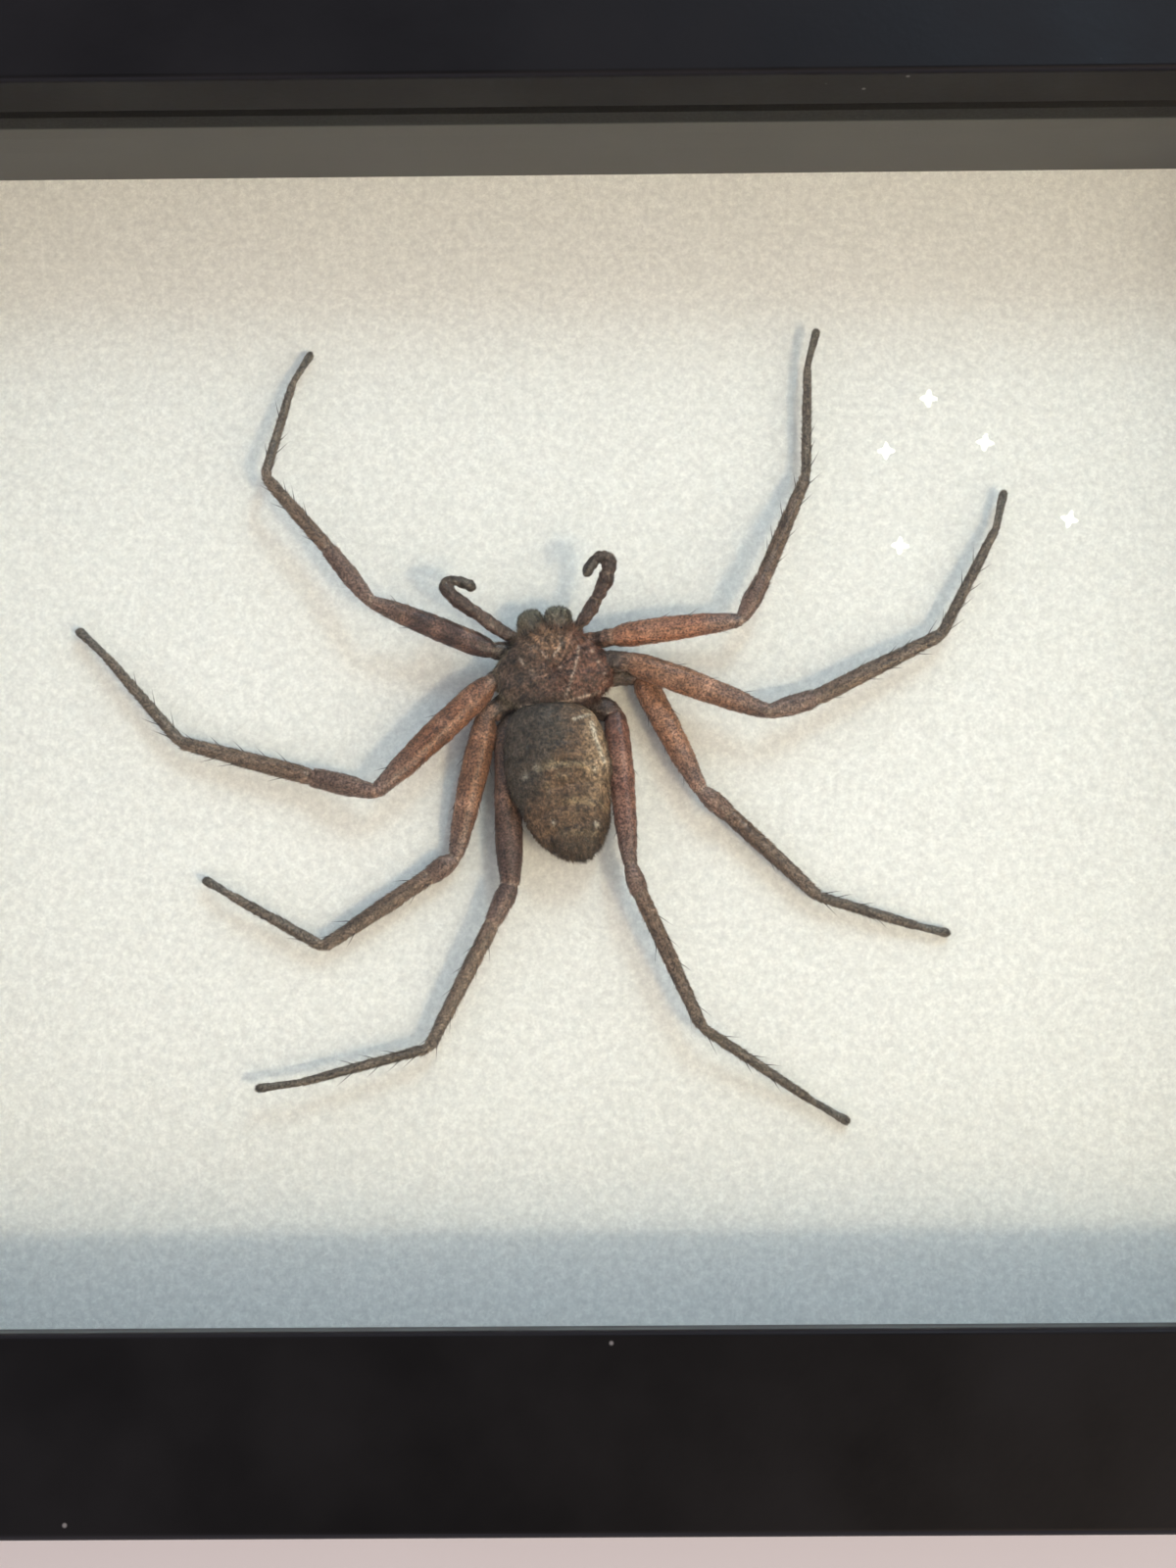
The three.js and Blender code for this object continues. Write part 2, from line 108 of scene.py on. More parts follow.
def blackLacquer():
    material, tree, place = startMaterial("satin_black_lacquer")
    peel = addNode(tree, "TexNoise", {"Vector": place, "Scale": scaleOf(lacquer["peel"]), "Detail": 2})
    cloud = addNode(tree, "TexNoise", {"Vector": place, "Scale": lacquer["cloudsPerMetre"], "Detail": 4})
    black = addNode(tree, "Mix", {
        0: cloud, 6: lacquer["black"], 7: lacquer["thin"]}, data_type="RGBA")
    specks = addNode(tree, "TexVoronoi", {"Vector": place, "Scale": scaleOf(lacquer["speckSpacing"])})
    dust = addNode(tree, "MapRange", {
        "Value": specks, "From Min": 0.035, "From Max": lacquer["speck"], "To Min": 0, "To Max": 0.6})
    colour = addNode(tree, "Mix", {0: dust, 6: black, 7: lacquer["dust"]}, data_type="RGBA")
    endMaterial(tree, addSurface(
        tree, colour, (cloud, lacquer["glossy"], lacquer["dull"]), (peel, 0.5, lacquer["peelDepth"]),
        {"IOR": 1.48, "Specular IOR Level": 0.18, "Specular Tint": "#fbfaff"}, span=(0.3, 0.7)))
    return material


# Charcoal board, cut in strips: matt paper faces with a fine tooth, painted near-black along the top edge
# where they meet the glass, as painted shade.
darkBoard = {"face": "#4c4a49", "fibre": "#5e5c59", "tooth": 0.35, "toothDepth": 0.04, "shadeBlack": "#080706",
             "shadeFrom": 24.3, "shadeEdge": 0.4}


def charcoalBoard():
    material, tree, place = startMaterial("charcoal_board")
    tooth = addNode(tree, "TexNoise", {
        "Vector": place, "Scale": scaleOf(darkBoard["tooth"]), "Detail": 4})
    paper = addNode(tree, "Mix", {
        0: tooth, 6: darkBoard["face"], 7: darkBoard["fibre"]}, data_type="RGBA")
    level = addNode(tree, "SeparateXYZ", {0: place}).outputs["Z"]
    # Painted shade: the top edge next to the glass is drawn near-black, standing in for the dark gap under the
    # lip.
    shadedTop = addNode(tree, "MapRange", {
        "Value": level, "From Min": darkBoard["shadeFrom"] * mm,
        "From Max": (darkBoard["shadeFrom"] + darkBoard["shadeEdge"]) * mm})
    colour = addNode(tree, "Mix", {0: shadedTop, 6: paper, 7: darkBoard["shadeBlack"]}, data_type="RGBA")
    endMaterial(tree, addSurface(
        tree, colour, (tooth, 0.6, 0.85), (tooth, 0.6, darkBoard["toothDepth"]), {"IOR": 1.5}))
    return material


# White mount board: uncoated rag paper, pressed smooth, whose tooth shows as a faint grain.
mountBoard = {"white": "#fbf9f4", "shade": "#dcdbd7", "tooth": 0.3, "toothDepth": 0.05, "cloud": 0.8}


def whiteMountBoard():
    material, tree, place = startMaterial("white_mount_board")
    tooth = addNode(tree, "TexNoise", {
        "Vector": place, "Scale": scaleOf(mountBoard["tooth"]), "Detail": 3, "Roughness": 0.7})
    cloud = addNode(tree, "TexNoise", {
        "Vector": place, "Scale": scaleOf(mountBoard["cloud"]), "Detail": 3})
    mixed = addNode(tree, "Math", {0: tooth, 1: cloud}, operation="MULTIPLY")
    spread = addNode(tree, "MapRange", {"Value": mixed, "From Min": 0.1, "From Max": 0.4})
    colour = addNode(tree, "Mix", {
        0: spread, 6: mountBoard["shade"], 7: mountBoard["white"]}, data_type="RGBA")
    endMaterial(tree, addSurface(
        tree, colour, (tooth, 0.75, 0.95), (tooth, 0.35, mountBoard["toothDepth"]),
        {"IOR": 1.5, "Specular IOR Level": 0.3}))
    return material


# Hardboard: wood fibre pressed wet against a screen, brown, with single dark fibres.
hardboard = {"light": "#8a6546", "dark": "#5a3d28", "fibre": 0.25, "stretch": 5.0, "chip": 1.6, "depth": 0.1}


def pressedHardboard():
    material, tree, place = startMaterial("pressed_hardboard")
    turned = addNode(tree, "Mapping", {
        "Vector": place, "Rotation": (0, 0, 0.5), "Scale": (1, hardboard["stretch"], 1)})
    fibre = addNode(tree, "TexNoise", {
        "Vector": turned, "Scale": 0.2 / (hardboard["fibre"] * mm), "Detail": 6, "Roughness": 0.7})
    chips = addNode(tree, "TexVoronoi", {"Vector": place, "Scale": scaleOf(hardboard["chip"])})
    both = addNode(tree, "Math", {0: fibre, 1: chips}, operation="MULTIPLY")
    spread = addNode(tree, "MapRange", {"Value": both, "From Min": 0.05, "From Max": 0.4})
    colour = addNode(tree, "Mix", {
        0: spread, 6: hardboard["dark"], 7: hardboard["light"]}, data_type="RGBA")
    endMaterial(tree, addSurface(
        tree, colour, (fibre, 0.5, 0.8), (both, 0.7, hardboard["depth"]), {"IOR": 1.5}))
    return material


# Float glass, 3 mm: clear with a green edge and the faintest wipe marks. Shadow rays pass straight through.
floatGlass = {"body": "#f4faf7", "wipe": 12.0, "wipeDepth": 0.02, "clean": 0.0, "smeared": 0.02}


def clearGlass():
    material, tree, place = startMaterial("clear_float_glass")
    wiped = addNode(tree, "Mapping", {"Vector": place, "Rotation": (0, 0, 0.7), "Scale": (1, 0.25, 1)})
    wipe = addNode(tree, "TexNoise", {"Vector": wiped, "Scale": scaleOf(floatGlass["wipe"]), "Detail": 5})
    glass = addSurface(
        tree, floatGlass["body"], (wipe, floatGlass["clean"], floatGlass["smeared"]),
        (wipe, 0.02, floatGlass["wipeDepth"]), {"IOR": 1.52, "Transmission Weight": 1.0}, span=(0.5, 0.8))
    clear = addNode(tree, "BsdfTransparent")
    shadow = addNode(tree, "LightPath").outputs["Is Shadow Ray"]
    endMaterial(tree, addNode(tree, "MixShader", {0: shadow, 1: glass, 2: clear}))
    return material


# Zinc-plated sheet steel, stamped: a grey, cloudy shine with fine rolling lines.
zinc = {"bright": "#c4c6c8", "grey": "#8f9193", "cloud": 1.5, "line": 0.15, "lineDepth": 0.01}


def zincPlatedSteel():
    material, tree, place = startMaterial("zinc_plated_steel")
    cloud = addNode(tree, "TexNoise", {"Vector": place, "Scale": scaleOf(zinc["cloud"]), "Detail": 4})
    drawn = addNode(tree, "Mapping", {"Vector": place, "Scale": (1, 0.05, 1)})
    line = addNode(tree, "TexNoise", {"Vector": drawn, "Scale": scaleOf(zinc["line"])})
    colour = addNode(tree, "Mix", {
        0: cloud, 6: zinc["bright"], 7: zinc["grey"]}, data_type="RGBA")
    endMaterial(tree, addSurface(
        tree, colour, (cloud, 0.25, 0.5), (line, 0.3, zinc["lineDepth"]), {"Metallic": 1.0}))
    return material


# Hide glue, dried in a dab: amber, glossy, with small sags.
glue = {"amber": "#b9975a", "pale": "#d8c394", "sag": 0.9, "sagDepth": 0.1}


def driedGlue():
    material, tree, place = startMaterial("dried_hide_glue")
    sag = addNode(tree, "TexNoise", {"Vector": place, "Scale": scaleOf(glue["sag"]), "Detail": 2})
    colour = addNode(tree, "Mix", {
        0: sag, 6: glue["amber"], 7: glue["pale"]}, data_type="RGBA")
    endMaterial(tree, addSurface(
        tree, colour, (sag, 0.15, 0.4), (sag, 0.5, glue["sagDepth"]), {"IOR": 1.52}))
    return material


lacquerMaterial, spacerMaterial, steelMaterial = blackLacquer(), charcoalBoard(), zincPlatedSteel()
frameFinish = {"display_board": whiteMountBoard(), "back_panel": pressedHardboard(), "glass": clearGlass(),
               "glue_dab": driedGlue()}
for nodeName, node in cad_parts.items():
    for start, finish in (("rail_", lacquerMaterial), ("spacer_", spacerMaterial), ("tab_", steelMaterial),
                          ("sawtooth", steelMaterial), ("hanger_nail", steelMaterial)):
        if nodeName.startswith(start):
            frameFinish[nodeName] = finish
    if nodeName in frameFinish:
        node.data.materials.clear()
        node.data.materials.append(frameFinish[nodeName])
print("frame finished:", len(frameFinish), "nodes")


# Dried spider cuticle: a thin brown shell, coloured piece by piece in the attribute "tint", darker in
# blotches and flecks, with a waxy gloss broken by hair sockets. Blotch, fleck, socket, wrinkle and depth
# are in mm.
def driedCuticle(name, look):
    material, tree, place = startMaterial(name)
    tint = addNode(tree, "Attribute", attribute_name="tint")
    blotch = addNode(tree, "TexNoise", {
        "Vector": place, "Scale": scaleOf(look["blotch"]), "Detail": 5, "Roughness": 0.65})
    value = addNode(tree, "MapRange", {
        "Value": blotch, "From Min": 0.3, "From Max": 0.7, "To Min": look["dark"], "To Max": look["light"]})
    fleck = addNode(tree, "TexNoise", {"Vector": place, "Scale": scaleOf(look["fleck"]), "Detail": 2})
    fine = addNode(tree, "MapRange", {
        "Value": fleck, "From Min": 0.35, "From Max": 0.65, "To Min": 0.4, "To Max": 1.8})
    worn = addNode(tree, "Math", {0: value, 1: fine}, operation="MULTIPLY")
    colour = addNode(tree, "HueSaturation", {"Color": tint, "Value": worn})
    sockets = addNode(tree, "TexVoronoi", {"Vector": place, "Scale": scaleOf(look["socket"])})
    wrinkle = addNode(tree, "TexNoise", {"Vector": place, "Scale": scaleOf(look["wrinkle"]), "Detail": 4})
    both = addNode(tree, "Math", {0: sockets, 1: wrinkle}, operation="ADD")
    endMaterial(tree, addSurface(
        tree, colour, (wrinkle, look["glossy"], look["dull"]), (both, 0.7, look["depth"]), {"IOR": 1.56},
        span=(0.3, 0.7)))
    return material


# Setae, the spider's hairs: stiff chitin, each with its own shade.
def chitinSetae():
    material, tree, place = startMaterial("chitin_setae")
    tint = addNode(tree, "Attribute", attribute_name="tint")
    shade = addNode(tree, "Attribute", attribute_name="shade").outputs["Fac"]
    grain = addNode(tree, "TexNoise", {"Vector": place, "Scale": scaleOf(0.3)})
    rough = addNode(tree, "MapRange", {"Value": grain, "To Min": 0.4, "To Max": 0.65})
    colour = addNode(tree, "HueSaturation", {"Color": tint, "Value": shade})
    endMaterial(tree, addNode(tree, "BsdfPrincipled", {"Base Color": colour, "Roughness": rough, "IOR": 1.55}))
    return material


legCuticle = driedCuticle("dried_leg_cuticle", {
    "blotch": 0.9, "fleck": 0.26, "dark": 0.7, "light": 1.3, "socket": 0.16, "wrinkle": 0.45, "glossy": 0.3,
    "dull": 0.55, "depth": 0.03})
shieldCuticle = driedCuticle("dried_shield_cuticle", {
    "blotch": 0.7, "fleck": 0.3, "dark": 0.7, "light": 1.25, "socket": 0.2, "wrinkle": 0.5, "glossy": 0.4,
    "dull": 0.65, "depth": 0.05})
abdomenCuticle = driedCuticle("shrunken_abdomen_skin", {
    "blotch": 1.1, "fleck": 0.3, "dark": 0.75, "light": 1.2, "socket": 0.22, "wrinkle": 0.8, "glossy": 0.42,
    "dull": 0.7, "depth": 0.08})
jawCuticle = driedCuticle("hard_jaw_cuticle", {
    "blotch": 0.6, "fleck": 0.3, "dark": 0.75, "light": 1.2, "socket": 0.2, "wrinkle": 0.5, "glossy": 0.3,
    "dull": 0.5, "depth": 0.04})
setaeMaterial = chitinSetae()


def smoothStep(value, low, high):
    t = np.clip((value - low) / (high - low), 0, 1)
    return t * t * (3 - 2 * t)


def bell(value, centre, width):
    return np.exp(-((value - centre) / width) ** 2)


def lumps(points, size, shift=0.0):  # smooth noise in -1..1 at the points, its lumps size mm across
    return np.array([noise.noise(Vector(p)) for p in points / size + shift])


def unitVectors(vectors):
    return vectors / np.maximum(np.linalg.norm(vectors, axis=1, keepdims=True), 1e-9)


def distanceToLine(points, line):  # from x, y of each point to a line drawn on the shell, mm
    nearest = np.full(len(points), 1e9)
    for a, b in zip(line[:-1], line[1:]):
        a, b = np.array(a, float), np.array(b, float)
        share = np.clip((points[:, :2] - a) @ (b - a) / ((b - a) @ (b - a)), 0, 1)
        nearest = np.minimum(nearest, np.linalg.norm(points[:, :2] - a - share[:, None] * (b - a), axis=1))
    return nearest


def distanceToSpot(points, x, y):
    return np.hypot(points[:, 0] - x, points[:, 1] - y)


def closedSkin(rings, sides):  # faces of a tube of rings, with one more point at each end
    faces = []
    for i in range(rings - 1):
        for j in range(sides):
            k = (j + 1) % sides
            faces.append((i * sides + j, (i + 1) * sides + j, (i + 1) * sides + k, i * sides + k))
    for j in range(sides):
        k = (j + 1) % sides
        faces.append((rings * sides, j, k))
        faces.append((rings * sides + 1, (rings - 1) * sides + k, (rings - 1) * sides + j))
    return faces


def shifted(faces, base):
    return [tuple(base + v for v in face) for face in faces]


def blend(tint, colour, share):  # paints a hex colour over tint where share is near 1
    return tint + (np.array(colourOf(colour)[:3]) - tint) * np.clip(share, 0, 1)[:, None]


def plainTint(colour, count):
    return np.tile(colourOf(colour)[:3], (count, 1))


def makePiece(name, points, faces, material, nodes, fields):
    mesh = bpy.data.meshes.new(name)
    mesh.from_pydata((points * mm).tolist(), [], faces)
    work = bmesh.new()
    work.from_mesh(mesh)
    bmesh.ops.recalc_face_normals(work, faces=work.faces)
    work.to_mesh(mesh)
    work.free()
    mesh.shade_smooth()
    mesh.materials.append(material)
    for field, (kind, slotOf, values) in fields.items():
        layer = mesh.attributes.new(field, kind, "POINT")
        layer.data.foreach_set(slotOf, np.ascontiguousarray(values, np.float32).ravel())
    piece = addObject(name, mesh)
    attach(piece, "root")
    if nodes:
        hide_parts(*nodes)
    return piece


def fieldsOf(tint, flow, fuzz, pile):  # pile, the hairs' length, comes in mm
    alpha = np.ones((len(tint), 1))
    return {"tint": ("FLOAT_COLOR", "color", np.hstack([tint, alpha])),
            "flow": ("FLOAT_VECTOR", "vector", flow),
            "fuzz": ("FLOAT", "value", fuzz), "pile": ("FLOAT", "value", pile * mm)}


# Hairs on a skin: points scattered by the attribute "fuzz", one closed three-sided spike on each, laid
# along "flow". Hairs is their number on a square mm, Thickness is in mm. Locks are patches of darker and
# paler hairs, mm across.
fuzz = {"length": (0.55, 1.25), "shade": (0.6, 1.4), "lock": 0.42, "lockShade": (0.35, 1.85)}


def fuzzTree():
    tree = bpy.data.node_groups.new("setae", "GeometryNodeTree")
    tree.interface.new_socket("Skin", in_out="INPUT", socket_type="NodeSocketGeometry")
    for name, kind, value in (("Hairs", "NodeSocketFloat", 30.0), ("Thickness", "NodeSocketFloat", 0.03),
                              ("Stand", "NodeSocketFloat", 0.5), ("Stray", "NodeSocketFloat", 0.3),
                              ("Seed", "NodeSocketInt", 1)):
        tree.interface.new_socket(name, in_out="INPUT", socket_type=kind).default_value = value
    tree.interface.new_socket("Setae", in_out="OUTPUT", socket_type="NodeSocketGeometry")
    given = addNode(tree, "NodeGroupInput").outputs
    cover = addNode(tree, "GeometryNodeInputNamedAttribute", {"Name": "fuzz"}, data_type="FLOAT")
    pile = addNode(tree, "GeometryNodeInputNamedAttribute", {"Name": "pile"}, data_type="FLOAT")
    flow = addNode(tree, "GeometryNodeInputNamedAttribute", {"Name": "flow"}, data_type="FLOAT_VECTOR")
    perMetre = addNode(tree, "Math", {0: given["Hairs"], 1: 1 / mm ** 2}, operation="MULTIPLY")
    density = addNode(tree, "Math", {0: perMetre, 1: cover}, operation="MULTIPLY")
    roots = addNode(tree, "GeometryNodeDistributePointsOnFaces", {
        "Mesh": given["Skin"], "Density": density, "Seed": given["Seed"]}, distribute_method="RANDOM")
    stray = addNode(tree, "FunctionNodeRandomValue", {
        0: (-1, -1, -1), 1: (1, 1, 1), "Seed": given["Seed"]}, data_type="FLOAT_VECTOR")
    length = addNode(tree, "FunctionNodeRandomValue", {
        2: fuzz["length"][0], 3: fuzz["length"][1], "Seed": given["Seed"]}, data_type="FLOAT")
    shade = addNode(tree, "FunctionNodeRandomValue", {
        2: fuzz["shade"][0], 3: fuzz["shade"][1], "Seed": given["Seed"]}, data_type="FLOAT")
    where = addNode(tree, "GeometryNodeInputPosition")
    clump = addNode(tree, "TexNoise", {"Vector": where, "Scale": scaleOf(fuzz["lock"]), "Detail": 1})
    lock = addNode(tree, "MapRange", {
        "Value": clump, "From Min": 0.32, "From Max": 0.68,
        "To Min": fuzz["lockShade"][0], "To Max": fuzz["lockShade"][1]})
    mottled = addNode(tree, "Math", {0: shade, 1: lock}, operation="MULTIPLY")
    up = addNode(tree, "VectorMath", {
        0: roots.outputs["Normal"], "Scale": given["Stand"]}, operation="SCALE")
    off = addNode(tree, "VectorMath", {0: stray, "Scale": given["Stray"]}, operation="SCALE")
    along = addNode(tree, "VectorMath", {0: up, 1: flow}, operation="ADD")
    way = addNode(tree, "VectorMath", {0: along, 1: off}, operation="ADD")
    turned = addNode(tree, "FunctionNodeAlignRotationToVector", {"Vector": way}, axis="Z")
    reach = addNode(tree, "Math", {0: pile, 1: length}, operation="MULTIPLY")
    thick = addNode(tree, "Math", {0: given["Thickness"], 1: mm}, operation="MULTIPLY")
    size = addNode(tree, "CombineXYZ", {0: thick, 1: thick, 2: reach})
    shaded = addNode(tree, "GeometryNodeStoreNamedAttribute", {
        "Geometry": roots, "Name": "shade", "Value": mottled}, data_type="FLOAT", domain="POINT")
    spike = addNode(tree, "GeometryNodeMeshCone", {
        "Vertices": 3, "Radius Top": 0.0, "Radius Bottom": 1.0, "Depth": 1.0}, fill_type="NGON")
    placed = addNode(tree, "GeometryNodeInstanceOnPoints", {
        "Points": shaded, "Instance": spike, "Rotation": turned, "Scale": size})
    solid = addNode(tree, "GeometryNodeRealizeInstances", {"Geometry": placed})
    painted = addNode(tree, "GeometryNodeSetMaterial", {"Geometry": solid, "Material": setaeMaterial})
    addNode(tree, "NodeGroupOutput", {0: painted})
    return tree


setaeTree = fuzzTree()
hairCounts = []


def growFuzz(name, skin, look):
    holder = addObject(name + "_skin", skin.data)
    modifier = holder.modifiers.new("setae", "NODES")
    modifier.node_group = setaeTree
    for item in setaeTree.interface.items_tree:
        if item.in_out == "INPUT" and item.name in look:
            modifier[item.identifier] = look[item.name]
    depsgraph = bpy.context.evaluated_depsgraph_get()
    mesh = bpy.data.meshes.new_from_object(holder.evaluated_get(depsgraph), preserve_all_data_layers=True,
                                           depsgraph=depsgraph)
    bpy.data.objects.remove(holder)
    mesh.name = name
    piece = addObject(name, mesh)
    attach(piece, "root")
    hairCounts.append(len(mesh.polygons) // 4)


# Each leg is a line of straight pieces in mm, x right, y towards the head, z over the board. Bands are
# paler rings, given as place along the pieces, width and strength, as are a stretch that is swollen (or
# drawn in, below 0) and one that is stained dark.
legs = {
    "leg_left_1": {
        "girth": 0.88, "femur": "#45322d", "bands": [(1.22, 0.05, 0.25), (1.45, 0.05, 0.22), (1.72, 0.04, 0.2)],
        "line": [(-2.9, 8.1, 2.8), (-6.5, 8.0, 4.4), (-20.8, 13.5, 6.5), (-26.1, 20.5, 5.2),
                 (-33.8, 29.6, 5.0), (-31.1, 42.6, 1.9), (-29.0, 46.7, 1.2)]},
    "leg_left_2": {
        "girth": 1.04, "femur": "#714b36", "bands": [(1.16, 0.04, 0.3), (1.4, 0.04, 0.35), (2.02, 0.03, 0.3)],
        "line": [(-3.2, 5.7, 2.8), (-6.8, 4.0, 4.4), (-20.1, -9.0, 4.6), (-28.0, -6.7, 2.4),
                 (-43.5, -2.4, 2.3), (-52.8, 8.3, 2.2), (-56.4, 11.7, 1.4)]},
    "leg_left_3": {
        "girth": 1.0, "femur": "#724f3a", "bands": [(0.85, 0.06, 0.5), (1.14, 0.04, 0.2), (1.62, 0.05, 0.6)],
        "line": [(-2.8, 3.4, 2.8), (-7.2, 0.2, 3.6), (-10.9, -16.4, 2.1), (-14.0, -18.6, 1.9),
                 (-26.3, -26.8, 1.8), (-37.3, -20.6, 2.4), (-40.4, -18.7, 1.6)]},
    "leg_left_4": {
        "girth": 0.93, "femur": "#604739", "bands": [(1.5, 0.05, 0.3), (1.99, 0.03, 0.7)],
        "swell": (1.98, 0.4, 0.38), "stain": (2.0, 0.4, 0.7),
        "line": [(-1.7, 1.2, 2.8), (-5.0, -0.6, 2.6), (-4.4, -19.9, 3.5), (-6.5, -24.4, 3.4),
                 (-13.8, -38.7, 2.6), (-28.2, -42.6, 3.8), (-33.5, -43.3, 3.6)]},
    "leg_right_1": {
        "girth": 0.93, "femur": "#8c5e46", "bands": [(0.5, 0.07, 0.9), (0.82, 0.05, 0.8), (1.3, 0.08, 0.25)],
        "swell": (0.5, 0.3, -0.24), "stain": (0.65, 0.3, 0.5),
        "line": [(3.2, 9.0, 2.8), (7.7, 9.5, 4.6), (22.9, 11.3, 5.0), (25.7, 16.5, 5.0),
                 (31.2, 29.8, 2.6), (31.7, 43.8, 2.7), (32.9, 48.3, 3.3)]},
    "leg_right_2": {
        "girth": 1.0, "femur": "#7c5842", "bands": [(1.3, 0.05, 0.3), (1.56, 0.06, 0.6)],
        "line": [(4.3, 6.8, 3.4), (9.5, 6.2, 5.6), (25.9, 0.1, 5.0), (31.6, 2.1, 3.4),
                 (46.8, 9.9, 2.7), (53.9, 23.2, 2.2), (55.1, 28.0, 1.8)]},
    "leg_right_3": {
        "girth": 0.97, "femur": "#8d654d", "bands": [(1.35, 0.05, 0.25), (1.95, 0.04, 0.4)],
        "line": [(4.8, 5.7, 2.0), (10.9, 5.3, 2.3), (17.9, -8.8, 3.2), (21.2, -11.5, 2.1),
                 (31.5, -21.3, 1.7), (43.1, -24.8, 1.1), (46.7, -25.6, 0.9)]},
    "leg_right_4": {
        "girth": 0.93, "femur": "#704c3f", "bands": [(1.35, 0.1, 0.35), (1.6, 0.05, 0.3)],
        "swell": (0.75, 0.25, 0.2), "stain": (0.8, 0.25, 0.6),
        "line": [(4.0, 2.1, 2.8), (7.9, 0.6, 3.0), (9.5, -17.9, 5.1), (10.7, -21.4, 4.9),
                 (17.6, -36.7, 4.0), (30.2, -44.9, 1.1), (34.4, -47.4, 0.95)]},
}
# The pieces from hip to claws: thickness in mm, then how it changes, as shares of length and thickness.
legPieces = [(2.9, [(0.05, 0.75), (0.4, 1), (0.9, 0.85)]),
             (3.4, [(0.03, 0.78), (0.12, 0.96), (0.42, 1), (0.75, 0.84), (0.96, 0.56)]),
             (2.45, [(0.08, 0.74), (0.4, 1), (0.85, 0.92)]),
             (2.05, [(0.03, 0.98), (0.45, 1), (0.95, 0.82)]),
             (1.48, [(0.02, 0.98), (0.5, 0.92), (0.95, 0.8)]),
             (1.15, [(0.1, 0.85), (0.6, 0.92), (0.86, 1.12), (0.97, 0.8)])]
legLook = {
    "coxa": "#50433a", "patella": "#6f594f", "tibia": "#6e5a4c", "tibiaEnd": "#6b5c50", "metatarsus": "#63584e",
    "tarsus": "#615a52", "membrane": "#b3a08b", "pale": "#a9806a", "dark": "#382521",
    "stops": [(0, "coxa"), (0.85, "coxa"), (1.1, "femur"), (1.6, "femur"), (1.95, "patella"), (2.9, "patella"),
              (3.1, "tibia"), (3.9, "tibiaEnd"), (4.1, "metatarsus"), (5.0, "metatarsus"), (5.3, "tarsus"),
              (6, "tarsus")],
    "ringStep": 0.2, "sides": 26, "kneeRound": 0.9, "hairLength": 0.42, "groove": 0.15, "lump": 0.08,
    "girth": 0.95, "slimmer": 0.12, "streak": 0.42, "spot": 0.5, "grain": 0.4}
palps = {
    "palp_left": [(-3.1, 9.6, 3.4), (-4.3, 9.5, 4.6), (-7.9, 11.6, 6.6), (-11.1, 13.7, 7.6), (-12.2, 15.2, 7.6),
                  (-10.7, 15.8, 7.2), (-8.4, 15.0, 6.6)],
    "palp_right": [(2.8, 9.9, 3.8), (3.8, 10.8, 4.9), (5.9, 13.5, 7.0), (7.3, 16.1, 8.8), (7.4, 18.0, 9.2),
                   (5.8, 17.8, 9.0), (4.5, 15.9, 8.4)],
}
palpPieces = [(1.7, [(0.1, 0.8), (0.7, 0.9)]), (2.0, [(0.15, 0.85), (0.75, 1)]), (2.1, [(0.1, 0.85), (0.6, 1)]),
              (1.85, [(0.1, 1), (0.6, 1)]), (1.6, [(0.2, 1), (0.8, 1)]),
              (1.5, [(0.2, 1), (0.75, 1), (0.96, 0.65)])]
palpLook = {**legLook, "ringStep": 0.13, "kneeRound": 0.6, "groove": 0.04, "hairLength": 0.27, "lump": 0.2,
            "slimmer": 0.0, "femur": "#514039", "tibia": "#4d3d36", "curl": "#4a3f37", "tip": "#4b443c",
            "stops": [(0, "coxa"), (1.5, "femur"), (3, "tibia"), (4.5, "curl"), (6, "tip")]}


# Points every step mm along a line, rounded at its knees, and how far along its pieces each of them is.
def followLine(line, step, kneeRound):
    line = np.array(line, float)
    lengths = np.linalg.norm(np.diff(line, axis=0), axis=1)
    ways = np.diff(line, axis=0) / lengths[:, None]
    centres, shares = [], []
    for i, length in enumerate(lengths):
        count = max(5, int(length / step))
        for share in np.arange(count + (i == len(lengths) - 1)) / count:
            walked = share * length
            centre = line[i] + ways[i] * walked
            for corner, gap, turn in ((i, walked, 1), (i + 1, length - walked, -1)):
                if 0 < corner < len(lengths):
                    reach = min(kneeRound, 0.4 * lengths[corner - 1], 0.4 * lengths[corner])
                    if gap < reach:
                        t = 0.5 + turn * gap / (2 * reach)
                        before = line[corner] - ways[corner - 1] * reach
                        after = line[corner] + ways[corner] * reach
                        centre = (1 - t) ** 2 * before + 2 * t * (1 - t) * line[corner] + t ** 2 * after
            centres.append(centre)
            shares.append(i + share)
    return np.array(centres), np.array(shares), lengths


